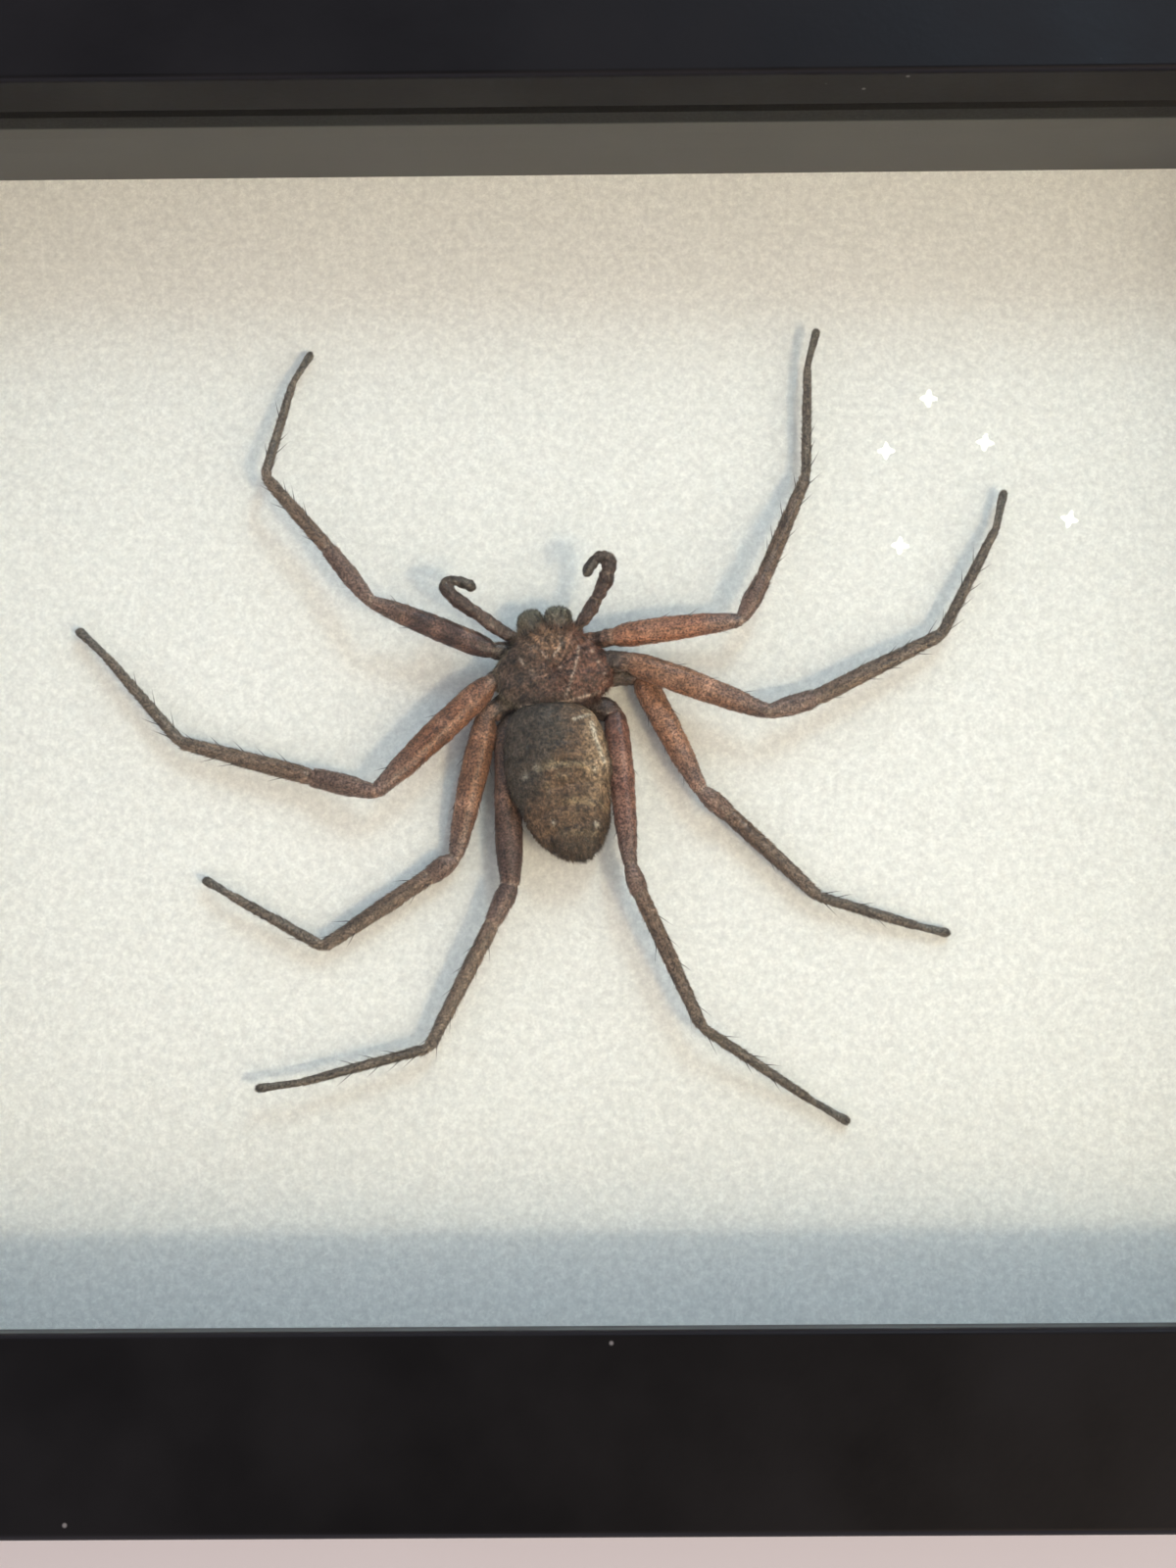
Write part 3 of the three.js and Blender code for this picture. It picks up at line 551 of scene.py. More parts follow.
def limbSkin(line, pieces, girth, look, leg, seed):
    centres, shares, lengths = followLine(line, look["ringStep"], look["kneeRound"])
    starts = np.concatenate([[0], np.cumsum(lengths)])
    walked = np.interp(shares, np.arange(len(starts)), starts)
    places, radii = [0.0], [pieces[0][0] * 0.7 * girth / 2]
    for i, (thickness, profile) in enumerate(pieces):
        for share, amount in profile:
            places.append(starts[i] + share * lengths[i])
            radii.append(thickness * amount * girth / 2)
    radius = np.interp(walked, places, radii)
    steps = np.gradient(walked)
    for _ in range(2):  # the stops of the profile flow into each other
        radius[1:-1] = 0.5 * radius[1:-1] + 0.25 * (radius[:-2] + radius[2:])
    for joint in starts[1:-1]:
        radius *= 1 - 0.13 * bell(walked, joint, 0.32)
    if "swell" in leg:
        radius *= 1 + leg["swell"][2] * bell(shares, *leg["swell"][:2])
    radius *= look["girth"] - look["slimmer"] * smoothStep(shares, 2.5, 4.2)
    toEnd = np.minimum(walked / 0.8, (starts[-1] - walked) / (radius[-1] * 1.1))
    radius *= np.sqrt(np.clip(1 - (1 - np.clip(toEnd, 0.02, 1)) ** 2, 0.02, 1))
    ways = unitVectors(np.gradient(centres, axis=0) / steps[:, None])
    side = unitVectors(np.cross(ways, (0, 0, 1)))
    up = np.cross(side, ways)
    sides = look["sides"]
    turn = np.arange(sides) / sides * 2 * math.pi
    lean = np.random.default_rng(seed).uniform(-0.6, 0.6)
    ring, angle = np.repeat(np.arange(len(walked)), sides), np.tile(turn, len(walked))
    spread = np.cos(angle)[:, None] * side[ring] + np.sin(angle)[:, None] * up[ring]
    sunk = np.zeros(len(ring))
    for i in (1, 3):  # femur and tibia fall in along their length as they dry
        middle = bell(shares[ring], i + 0.52, 0.3)
        sunk += look["groove"] * middle * bell(np.angle(np.exp(1j * (angle - math.pi / 2 - lean))), 0, 0.33)
        sunk += 0.7 * look["groove"] * middle * bell(np.angle(np.exp(1j * (angle + 0.3))), 0, 0.3)
    size = radius[ring] * (1 - sunk + 0.022 * np.cos(5 * angle + 0.35 * walked[ring]))
    points = centres[ring] + spread * size[:, None]
    knobbly = 1 + 1.8 * (1 - smoothStep(shares[ring], 0.5, 1.25))  # dried scraps round the hips
    relief = look["lump"] * knobbly * (lumps(points, 1.1, seed) + 0.6 * lumps(points, 0.45, seed))
    points += spread * (relief * np.clip(radius[ring] / 0.8, 0.3, 1))[:, None]
    points = np.vstack([points, centres[0] - ways[0] * 0.1, centres[-1] + ways[-1] * 0.05])
    ring = np.concatenate([ring, [0, len(walked) - 1]])
    angle = np.concatenate([angle, [0, 0]])
    share, thick = shares[ring], radius[ring]
    shades = {**look, **leg}
    stops = [(place, colourOf(shades[part])) for place, part in look["stops"]]
    tint = np.array([np.interp(share, [s for s, _ in stops], [c[k] for _, c in stops]) for k in range(3)]).T
    for place, width, strength in leg.get("bands", []):
        patchy = 0.6 + 0.8 * np.clip(lumps(points, 1.2, seed + 7) + 0.3, 0, 1)
        tint = blend(tint, look["pale"], strength * bell(share, place, width) * patchy)
    if "stain" in leg:
        place, width, strength = leg["stain"]
        tint = blend(tint, look["dark"], strength * bell(share, place, width))
    for i in range(1, 6):
        pale = bell(walked[ring], starts[i], 0.2) * (0.32 if i < 5 else 0.12)
        tint = blend(tint, look["membrane"], pale * (0.5 + lumps(points, 0.7, seed + i)))
    under = np.clip(-np.sin(angle), 0, 1)
    local = np.stack([walked[ring] / 2.6, thick * np.cos(angle) / 0.45, thick * np.sin(angle) / 0.45], axis=1)
    mottle = look["streak"] * lumps(local, 1.0, seed * 3.7) + look["spot"] * lumps(points, 0.5, seed * 2.3)
    mottle += look["grain"] * lumps(points, 0.24, seed * 1.9)
    # Painted shade: the underside is drawn up to 15% darker; the mottle is the cuticle's own.
    tint = tint * (1 - 0.15 * under)[:, None] * np.clip(1 + mottle, 0.35, 1.9)[:, None]
    fuzz = 0.45 + 0.45 * smoothStep(share, 1.6, 3.0) + 0.5 * smoothStep(share, 4.0, 5.2) * under
    fuzz *= smoothStep(share, 0.2, 0.8)
    fuzz += 2.2 * smoothStep(share, 5.75, 5.97)  # the claw tuft
    pile = look["hairLength"] * (0.75 + 0.35 * smoothStep(share, 1.5, 3.2) - 0.4 * smoothStep(share, 4.4, 5.3))
    return points, closedSkin(len(walked), sides), tint, ways[ring], fuzz, pile


# Spines: long, stiff, nearly black bristles that stand on femur, tibia and metatarsus.
spineLook = {"colour": "#2a211c", "length": 2.0, "thickness": 0.13, "rings": 4, "sides": 5, "missing": 0.3,
             "places": [1.35, 1.6, 1.8, 3.15, 3.35, 3.55, 3.75, 3.9, 4.08, 4.2, 4.42, 4.6]}


def addSpines(line, pieces, girth, look, seed, offset):
    centres, shares, _ = followLine(line, 0.3, look["kneeRound"])
    ways = unitVectors(np.gradient(centres, axis=0))
    rng = np.random.default_rng(seed + 100)
    rings, sides = spineLook["rings"], spineLook["sides"]
    points, faces = [], []
    for place in spineLook["places"]:
        for flank in (0, 1):
            if rng.random() < spineLook["missing"]:
                continue
            at = int(np.argmin(abs(shares - place - rng.uniform(-0.05, 0.05))))
            thickness, profile = pieces[min(int(shares[at]), 5)]
            radius = thickness * np.interp(shares[at] % 1, *zip(*profile)) * girth / 2
            side = np.cross(ways[at], (0, 0, 1))
            side /= np.linalg.norm(side)
            up = np.cross(side, ways[at])
            angle = rng.uniform(0.1, 0.9) if flank else math.pi - rng.uniform(0.1, 0.9)
            out = side * math.cos(angle) + up * math.sin(angle)
            root = centres[at] + out * radius * 0.85
            heading = out * 0.55 + ways[at] * 0.8
            heading /= np.linalg.norm(heading)
            across = np.cross(heading, ways[at])
            across /= np.linalg.norm(across)
            third = np.cross(heading, across)
            length = spineLook["length"] * rng.uniform(0.7, 1.2) * (0.75 if place < 2 else 1)
            faces += shifted(closedSkin(rings, sides), offset + len(points))
            for r in range(rings):
                share = r / rings
                centre = root + heading * length * share + ways[at] * 0.25 * share ** 2
                wide = spineLook["thickness"] / 2 * (1 - share)
                for s in range(sides):
                    a = s / sides * 2 * math.pi
                    points.append(centre + (across * math.cos(a) + third * math.sin(a)) * wide)
            points.append(root - heading * 0.05)
            points.append(root + heading * length + ways[at] * 0.25)
    return np.array(points), faces


for seed, (name, leg) in enumerate(legs.items(), 1):
    points, faces, tint, flow, cover, pile = limbSkin(leg["line"], legPieces, leg["girth"], legLook, leg, seed)
    spinePoints, spineFaces = addSpines(leg["line"], legPieces, leg["girth"], legLook, seed, len(points))
    extra = len(spinePoints)
    tint = np.vstack([tint, plainTint(spineLook["colour"], extra)])
    flow = np.vstack([flow, np.tile((0, 0, 1), (extra, 1))])
    cover, pile = np.append(cover, np.zeros(extra)), np.append(pile, np.zeros(extra))
    points = np.vstack([points, spinePoints]) + spiderPlace
    skin = makePiece("skin_" + name, points, faces + spineFaces, legCuticle, [name],
                     fieldsOf(tint, flow, cover, pile))
    growFuzz("setae_" + name, skin,
             {"Hairs": 29.0, "Thickness": 0.034, "Stand": 0.45, "Stray": 0.35, "Seed": seed})
print("legs made:", sum(hairCounts), "hairs so far")

for seed, (name, line) in enumerate(palps.items(), 21):
    points, faces, tint, flow, cover, pile = limbSkin(line, palpPieces, 0.88, palpLook, {}, seed)
    skin = makePiece("skin_" + name, points + spiderPlace, faces, legCuticle, [name],
                     fieldsOf(tint, flow, cover, pile))
    growFuzz("setae_" + name, skin,
             {"Hairs": 55.0, "Thickness": 0.026, "Stand": 0.6, "Stray": 0.35, "Seed": seed})
print("palps made")

body = {"centre": (0.5, 5.5), "turn": 8.4}


def turnBody(points):  # from the body's own axes to the part's, mm
    angle = math.radians(body["turn"])
    turned = points.copy()
    turned[:, 0] = points[:, 0] * math.cos(angle) - points[:, 1] * math.sin(angle) + body["centre"][0]
    turned[:, 1] = points[:, 0] * math.sin(angle) + points[:, 1] * math.cos(angle) + body["centre"][1]
    return turned + spiderPlace


def unitBall(rings, sides, axis):  # a ball's points with its poles on one axis, as a skin of rings
    polar = (np.arange(rings) + 1) / (rings + 1) * math.pi
    around = np.arange(sides) / sides * 2 * math.pi
    p, r = np.repeat(polar, sides), np.tile(around, rings)
    ball = np.stack([np.sin(p) * np.cos(r), np.sin(p) * np.sin(r), np.cos(p)], axis=1)
    ball = np.vstack([ball, (0, 0, 1), (0, 0, -1)])
    return ball if axis == "z" else ball[:, [1, 2, 0]]


# The shield over head and chest. Its ridges, spots and grooves are places in mm on the part, each with a
# width and a strength (for a groove its depth).
shield = {
    "halfWidth": 6.8, "halfLength": 5.2, "rim": 4.4, "dome": 3.4, "belly": 2.8, "front": 7, "rear": 2.5,
    "headTaper": 0.48, "rightHip": 0.08, "rings": 130, "sides": 220, "hub": (1.0, 4.4),
    "tint": "#583f33", "left": "#4f3d31", "right": "#634437", "head": "#8d6b4f", "ridge": "#a08c7c",
    "margin": "#6b5f4b", "rearTint": "#3d322b",
    "ridges": [([(-1.6, 7.5), (-0.4, 6.5), (0.2, 5.7)], 0.16, 0.6), ([(1.8, 7.7), (0.8, 6.2)], 0.16, 0.9),
               ([(3.7, 7.5), (3.6, 6.2), (3.2, 4.7), (2.9, 3.7), (2.5, 2.4), (2.1, 1.5)], 0.15, 0.85),
               ([(-3.3, 0.6), (-1.7, 0.7), (0.1, 0.7), (1.8, 1.0), (4.0, 1.5), (6.2, 2.4)], 0.14, 0.75),
               ([(-3.2, 6.0), (-2.6, 5.2)], 0.18, 0.6)],
    "spots": [(5.3, 7.0, 0.2, 0.9), (6.0, 5.8, 0.2, 0.8), (6.7, 4.4, 0.2, 0.8), (-1.8, 4.3, 0.5, 0.35),
              (1.5, 4.9, 0.25, 0.5), (1.4, 0.7, 0.3, 0.5)],
    "grooves": [([(-2.6, 8.6), (-1.2, 6.6), (0.4, 5.0)], 0.35, 0.22),
                ([(4.6, 8.4), (2.6, 6.4), (0.9, 4.9)], 0.35, 0.22), ([(0.7, 5.2), (1.2, 2.6)], 0.3, 0.14),
                ([(-4.6, 5.2), (-0.6, 4.2)], 0.4, 0.1), ([(-3.6, 2.2), (0.2, 3.4)], 0.4, 0.1),
                ([(6.2, 5.2), (2.4, 4.4)], 0.4, 0.1), ([(5.0, 2.0), (2.0, 3.2)], 0.4, 0.1)],
}
ball = unitBall(shield["rings"], shield["sides"], "z")
reach = np.hypot(ball[:, 0], ball[:, 1])
dx, dy = ball[:, 0] / np.maximum(reach, 1e-6), ball[:, 1] / np.maximum(reach, 1e-6)
power = np.where(dy > 0, shield["front"], shield["rear"])
rimReach = (abs(dx) ** power + abs(dy) ** power) ** (-1 / power)
rimReach[-2:] = 1
along = dy * rimReach * np.minimum(1, reach)
narrow = 1 - shield["headTaper"] * smoothStep(along, 0.05, 0.95) - 0.04 * smoothStep(-along, 0.3, 1)
narrow *= 1 + shield["rightHip"] * np.clip(dx, 0, 1) * bell(along, -0.45, 0.45)
under = np.where(ball[:, 2] < 0, 0.55 + 0.45 * (1 + ball[:, 2]) ** 3, 1)
headRise = bell(along, 0.55, 0.4) * bell(dx * reach, 0, 0.45)
furrow = bell(along, -0.2, 0.12) * bell(dx * reach, 0, 0.12)
height = np.where(ball[:, 2] > 0, shield["dome"] * np.clip(ball[:, 2], 0, 1) ** 0.8
                  * (0.88 + 0.18 * headRise - 0.12 * furrow), shield["belly"] * ball[:, 2])
points = turnBody(np.stack([
    dx * rimReach * reach * narrow * under * shield["halfWidth"],
    dy * rimReach * reach * under * shield["halfLength"], shield["rim"] + height], axis=1))
top = smoothStep(ball[:, 2], 0.0, 0.15)
for line, width, depth in shield["grooves"]:
    points[:, 2] -= depth * bell(distanceToLine(points, line), 0, width) * top
for line, width, strength in shield["ridges"]:
    points[:, 2] += 0.09 * strength * bell(distanceToLine(points, line), 0, width * 1.3) * top
away = unitVectors(points - np.append(points[:, :2].mean(axis=0), boardTop + 4))
fromHub = points[:, :2] - shield["hub"]
spoke = np.arctan2(fromHub[:, 1], fromHub[:, 0])
wrinkle = lumps(np.stack([np.cos(spoke) * 7, np.sin(spoke) * 7, np.hypot(*fromHub.T) / 2.4], axis=1), 1.0)
points += away * (0.2 * lumps(points, 1.7) + 0.1 * lumps(points, 0.7) + 0.05 * lumps(points, 0.3)
                  + 0.1 * wrinkle)[:, None]

tint = plainTint(shield["tint"], len(points))
tint = blend(tint, shield["left"], smoothStep(-points[:, 0], -1.0, 3.5))
tint = blend(tint, shield["right"], smoothStep(points[:, 0], 1.0, 4.0))
tint = blend(tint, shield["head"], 0.8 * np.exp(-((points[:, 0] - 0.3) / 2.4) ** 2
                                                - ((points[:, 1] - 8.0) / 1.6) ** 2))
tint = blend(tint, shield["rearTint"], 0.75 * smoothStep(-points[:, 1], -2.4, -0.6))
tint = blend(tint, shield["margin"], 0.7 * bell(ball[:, 2], 0.1, 0.25) * smoothStep(-points[:, 0], 0, 3))
patchy = np.clip(0.55 + 0.6 * lumps(points, 0.8, 3.0) + 0.3, 0.35, 1)
for line, width, strength in shield["ridges"]:
    tint = blend(tint, shield["ridge"], strength * bell(distanceToLine(points, line), 0, width) * patchy * top)
for x, y, width, strength in shield["spots"]:
    tint = blend(tint, shield["ridge"], strength * bell(distanceToSpot(points, x, y), 0, width))
mottle = 0.75 * lumps(points, 0.42, 4.0) + 0.65 * lumps(points, 0.25, 5.0) + 0.7 * wrinkle
mottle += 0.5 * lumps(points, 1.0, 6.0)
tint = tint * np.clip(1 + mottle, 0.3, 2.3)[:, None]
forward = smoothStep(along, 0.55, 0.95)
flow = unitVectors(np.stack([
    0.4 * away[:, 0], 0.4 * away[:, 1] - 0.8 + 1.7 * forward, 0.1 * away[:, 2]], axis=1))
cover = np.where(ball[:, 2] > -0.1, 1.0, 0.4)
pile = 0.36 + 0.45 * forward + 0.25 * bell(ball[:, 2], 0.05, 0.2)
shieldSkin = makePiece("skin_shield", points, closedSkin(shield["rings"], shield["sides"]), shieldCuticle,
                       ["cephalothorax"], fieldsOf(tint, flow, cover, pile))
growFuzz("setae_shield", shieldSkin,
         {"Hairs": 45.0, "Thickness": 0.03, "Stand": 0.4, "Stray": 0.5, "Seed": 31})
print("shield made:", sum(hairCounts), "hairs so far")

# Eight eyes in two rows on the slope over the jaws: clear lenses over black, so dark and very glossy. Each
# row has its place along the body, then each eye's place across it and size, mm.
eyes = {"tint": "#1a1614", "rings": 10, "sides": 16,
        "rows": [(4.95, [(-0.42, 0.26), (0.42, 0.26), (-1.2, 0.32), (1.2, 0.32)]),
                 (4.35, [(-0.62, 0.24), (0.62, 0.24), (-1.8, 0.28), (1.8, 0.28)])]}
eyeLens = driedCuticle("eye_lens", {
    "blotch": 0.3, "fleck": 0.3, "dark": 0.9, "light": 1.1, "socket": 0.3, "wrinkle": 0.4, "glossy": 0.05,
    "dull": 0.12, "depth": 0.002})
eyePoints, eyeFaces = [], []
for y, row in eyes["rows"]:
    for x, across in row:
        seat = turnBody(np.array([[x, y, 0.0]]))[0]
        above = Vector((seat[0], seat[1], boardTop + 14)) * mm
        hit, where, normal, _ = shieldSkin.ray_cast(above, Vector((0, 0, -1)))
        lens = unitBall(eyes["rings"], eyes["sides"], "z") * across * 0.62
        turned = lens @ np.array(normal.to_track_quat("Z", "Y").to_matrix()).T
        eyeFaces += shifted(closedSkin(eyes["rings"], eyes["sides"]), len(eyePoints))
        eyePoints += list(turned + np.array(where) / mm + np.array(normal) * 0.06)
eyePoints = np.array(eyePoints)
bare, upright = np.zeros(len(eyePoints)), np.tile((0, 0, 1.0), (len(eyePoints), 1))
makePiece("eyes", eyePoints, eyeFaces, eyeLens, [],
          fieldsOf(plainTint(eyes["tint"], len(eyePoints)), upright, bare, bare))

jaws = {"size": (1.52, 2.45, 1.9), "swell": 0.1, "tilt": -0.35, "apart": 1.6, "place": (5.05, 3.9),
        "block": 0.7, "rings": 60, "sides": 72, "hairs": 0.35, "tint": "#695b4a", "front": "#5b584c",
        "fang": "#1c1310",
        "fangRings": 10, "fangThickness": 0.34}
for name, flank, seed in (("chelicera_left", -1, 41), ("chelicera_right", 1, 42)):
    ball = unitBall(jaws["rings"], jaws["sides"], "y")
    ball = np.sign(ball) * abs(ball) ** jaws["block"]
    swell = 1 + jaws["swell"] * ball[:, 1]
    shaped = ball * np.array(jaws["size"]) * np.stack([swell, np.ones(len(ball)), swell], axis=1)
    c, s = math.cos(jaws["tilt"]), math.sin(jaws["tilt"])
    shaped = shaped @ np.array([[1, 0, 0], [0, c, -s], [0, s, c]]).T
    shaped += ball * (0.22 * lumps(shaped, 1.3, seed) + 0.1 * lumps(shaped, 0.5, seed))[:, None]
    shaped += (flank * jaws["apart"], *jaws["place"])
    fang, n = [], jaws["fangRings"]  # it folds back under the jaw
    for r in range(n):
        share = r / (n - 0.5)
        centre = np.array([flank * (1.2 - 0.9 * share), 7.0 - 2.4 * share, 2.5 - 0.9 * math.sin(share * 3.0)])
        for k in range(n):
            a = k / n * 2 * math.pi
            wide = jaws["fangThickness"] * (1 - share) ** 0.8
            fang.append(centre + wide * np.array([math.cos(a), 0.25 * math.sin(a), math.sin(a)]))
    fang += [np.array([flank * 1.2, 7.1, 2.5]), np.array([flank * 0.28, 4.5, 2.4])]
    tint = blend(plainTint(jaws["tint"], len(shaped)), jaws["front"], smoothStep(ball[:, 1], -0.2, 0.8))
    tint *= np.clip(1 + 0.9 * lumps(shaped, 0.45, seed) + 0.5 * lumps(shaped, 1.0, seed), 0.35, 2)[:, None]
    tint = np.vstack([tint, plainTint(jaws["fang"], len(fang))])
    cover = np.append(np.ones(len(shaped)), np.zeros(len(fang)))
    points = turnBody(np.vstack([shaped, fang]))
    flow = np.tile(unitVectors(np.array([[0.1 * flank, 0.8, -0.1]])), (len(points), 1))
    faces = closedSkin(jaws["rings"], jaws["sides"]) + shifted(closedSkin(n, n), len(shaped))
    skin = makePiece("skin_" + name, points, faces, jawCuticle, [name],
                     fieldsOf(tint, flow, cover, jaws["hairs"] * np.ones(len(points))))
    growFuzz("setae_" + name, skin,
             {"Hairs": 55.0, "Thickness": 0.03, "Stand": 0.8, "Stray": 0.5, "Seed": seed})
print("eyes and jaws made")

# The abdomen, sunken as it dried: folds across its back, dark on the front-left, partly its own dark skin
# and partly painted shade, olive elsewhere.
abdomen = {
    "front": (0.2, 1.2), "bend": (0.9, -9.2), "tip": (4.6, -17.2), "halfWidth": 6.2, "halfHeight": 3.5,
    "height": 4.9, "blunt": 0.38, "pointed": 1.1, "taper": 0.13, "bulge": 0.05,
    "folds": [0.38, 0.52, 0.64, 0.76], "foldDepth": 0.3, "rings": 170, "sides": 220,
    "tint": "#604a37", "dark": "#423930", "flank": "#9d8368", "fold": "#96805f", "pale": "#e2d8c4",
    "tipTint": "#48392b", "gap": [(7.0, -2.6), (7.4, -6.0), (7.8, -9.5)],
    "foldLines": [([(-1.2, -7.2), (0.5, -6.9), (2.1, -6.8), (4.1, -6.9), (5.7, -7.3)], 0.4, 0.75),
                  ([(1.1, -8.1), (2.1, -8.4)], 0.35, 0.4),
                  ([(2.1, -11.1), (4.1, -11.0), (6.1, -11.2), (7.4, -11.9)], 0.45, 0.6),
                  ([(1.5, -14.6), (5.9, -14.8)], 0.4, 0.3), ([(-0.1, -9.1), (0.1, -10.4)], 0.3, 0.45)],
    "paintedHighlights": [([(5.2, -1.6), (5.6, -3.4), (6.2, -5.0), (6.6, -6.2)], 0.26, 0.9),
                ([(3.1, -1.4), (5.1, -0.5)], 0.16, 0.8)],
    "spots": [(-2.6, -8.0, 0.4, 0.5), (0.7, -13.5, 0.3, 0.5), (5.7, -13.6, 0.35, 0.6), (7.4, -11.8, 0.3, 0.7),
              (5.6, -7.3, 0.35, 0.6), (-1.2, -7.2, 0.35, 0.6)],
    "darkAndShadeEdge": [(2.1, 1.0), (2.1, -2.2), (1.4, -6.2), (-0.3, -8.5), (-2.3, -12.5), (-4, -14)],
}
ball = unitBall(abdomen["rings"], abdomen["sides"], "y")
share = (1 - ball[:, 1]) / 2
reach = np.hypot(ball[:, 0], ball[:, 2])
across, rise = ball[:, 0] / np.maximum(reach, 1e-6), ball[:, 2] / np.maximum(reach, 1e-6)
back = np.maximum(0, rise)
dip = back * sum(bell(share - 0.04 * across ** 2, fold, 0.03) for fold in abdomen["folds"])
wide = reach ** np.where(share < 0.5, abdomen["blunt"], abdomen["pointed"])
wide = wide * (1 - abdomen["taper"] * smoothStep(share, 0.42, 0.6))
lift = rise * wide * abdomen["halfHeight"] * (1 - 0.1 * back * smoothStep(share, 0, 0.45))
front, bend, tip = (np.array(abdomen[k]) for k in ("front", "bend", "tip"))
s = share[:, None]
spine = (1 - s) ** 2 * front + 2 * s * (1 - s) * bend + s ** 2 * tip
heading = unitVectors(2 * (1 - s) * (bend - front) + 2 * s * (tip - bend))
wide = wide * (1 + abdomen["bulge"] * bell(share, 0.2, 0.16) * (across > 0))
sideways = (across * wide * abdomen["halfWidth"])[:, None] * np.stack([-heading[:, 1], heading[:, 0]], axis=1)
level = abdomen["height"] + lift - dip * abdomen["foldDepth"]
points = np.column_stack([spine + sideways, level]) + spiderPlace
away = unitVectors(np.stack([-heading[:, 1] * across, heading[:, 0] * across, rise], axis=1))
for line, width, strength in abdomen["foldLines"]:
    points[:, 2] += 0.28 * strength * bell(distanceToLine(points, line), 0, width * 1.2) * back
ripple = (np.sin(share * 95 + 1.2 * lumps(points, 3.0)) * smoothStep(share, 0.1, 0.3)
          * (1 - smoothStep(share, 0.85, 1)))
points += away * (0.16 * lumps(points, 2.2) + 0.08 * lumps(points, 0.8) + 0.035 * lumps(points, 0.3)
                  + 0.035 * ripple)[:, None]

tint = plainTint(abdomen["tint"], len(points))
tint = blend(tint, abdomen["tipTint"], smoothStep(share, 0.72, 0.9))
tint = blend(tint, abdomen["flank"], 0.8 * smoothStep(points[:, 0], 3.6, 5.6) * smoothStep(-share, -0.8, -0.4))
# Front-left drawn dark up to a ragged edge: partly the skin's own dark, partly painted shade of that flank.
edgeX = np.interp(-points[:, 1], [-y for _, y in abdomen["darkAndShadeEdge"]], [x for x, _ in abdomen["darkAndShadeEdge"]])
ragged = edgeX - points[:, 0] + 1.5 * lumps(points, 1.5, 5.0) + 0.9 * lumps(points, 0.5, 2.0)
tint = blend(tint, abdomen["dark"], 0.92 * smoothStep(ragged, -0.9, 1.2))
patchy = np.clip(0.75 + 0.8 * lumps(points, 0.9, 9.0), 0.2, 1)
for line, width, strength in abdomen["foldLines"]:
    tint = blend(tint, abdomen["fold"], strength * bell(distanceToLine(points, line), 0, width) * patchy * back)
# Painted shadow: a dark line along the right flank, where the fourth right femur lies next to it.
tint = blend(tint, abdomen["dark"], 0.8 * bell(distanceToLine(points, abdomen["gap"]), 0, 0.5))
tint *= np.clip(1 + 0.8 * lumps(points, 0.45, 4.0) + 0.5 * lumps(points, 1.2, 6.0), 0.4, 2)[:, None]
# Painted highlight: whitish streaks along the right flank ridge and the right front rim.
for line, width, strength in abdomen["paintedHighlights"]:
    tint = blend(tint, abdomen["pale"], strength * bell(distanceToLine(points, line), 0, width) * back)
for x, y, width, strength in abdomen["spots"]:
    tint = blend(tint, abdomen["pale"], strength * bell(distanceToSpot(points, x, y), 0, width) * back
                 * np.clip(0.7 + lumps(points, 0.35, x), 0, 1))
flow = np.column_stack([heading, -0.1 * np.ones(len(points))])
cover, pile = np.ones(len(points)) * (0.5 + 0.5 * (rise > -0.3)), 0.42 + 0.15 * smoothStep(share, 0.7, 1)

# Six spinnerets at the tip: each one's place across and up, thickness and length in mm.
spinnerets = {"tint": "#4a4237", "rings": 8, "sides": 12, "sunk": 1.0, "hairs": 0.35,
              "cones": [(-0.45, 0.3, 0.38, 1.0), (0.5, 0.3, 0.38, 1.0), (-0.4, -0.4, 0.34, 0.9),
                        (0.4, -0.4, 0.34, 0.9), (-0.15, 0.0, 0.2, 0.6), (0.15, 0.0, 0.2, 0.6)]}
tipWay = np.append(unitVectors((tip - bend)[None])[0], -0.12)
tipSide = np.array([-tipWay[1], tipWay[0], 0])
tipAt = np.append(tip, abdomen["height"] - 0.4) + spiderPlace - tipWay * spinnerets["sunk"]
faces, conePoints = closedSkin(abdomen["rings"], abdomen["sides"]), []
rings, sides = spinnerets["rings"], spinnerets["sides"]
for sideShift, upShift, thick, length in spinnerets["cones"]:
    faces += shifted(closedSkin(rings, sides), len(points) + len(conePoints))
    root = tipAt + tipSide * sideShift + np.array([0, 0, upShift])
    for r in range(rings):
        size = thick * (1 - 0.1 * r / rings - 0.5 * (r / rings) ** 3)
        for k in range(sides):
            a = k / sides * 2 * math.pi
            out = tipSide * math.cos(a) + np.array([0, 0, math.sin(a)])
            conePoints.append(root + tipWay * length * r / (rings - 1) + out * size)
    conePoints += [root - tipWay * 0.05, root + tipWay * (length + 0.08)]
extra = len(conePoints)
points = np.vstack([points, conePoints])
tint = np.vstack([tint, plainTint(spinnerets["tint"], extra)])
flow = np.vstack([flow, np.tile(tipWay, (extra, 1))])
cover, pile = np.append(cover, np.ones(extra)), np.append(pile, spinnerets["hairs"] * np.ones(extra))
skin = makePiece("skin_abdomen", points, faces, abdomenCuticle, ["abdomen"],
                 fieldsOf(tint, flow, cover, pile))
growFuzz("setae_abdomen", skin,
         {"Hairs": 34.0, "Thickness": 0.03, "Stand": 0.35, "Stray": 0.45, "Seed": 51})
print("abdomen made:", sum(hairCounts), "hairs in all")

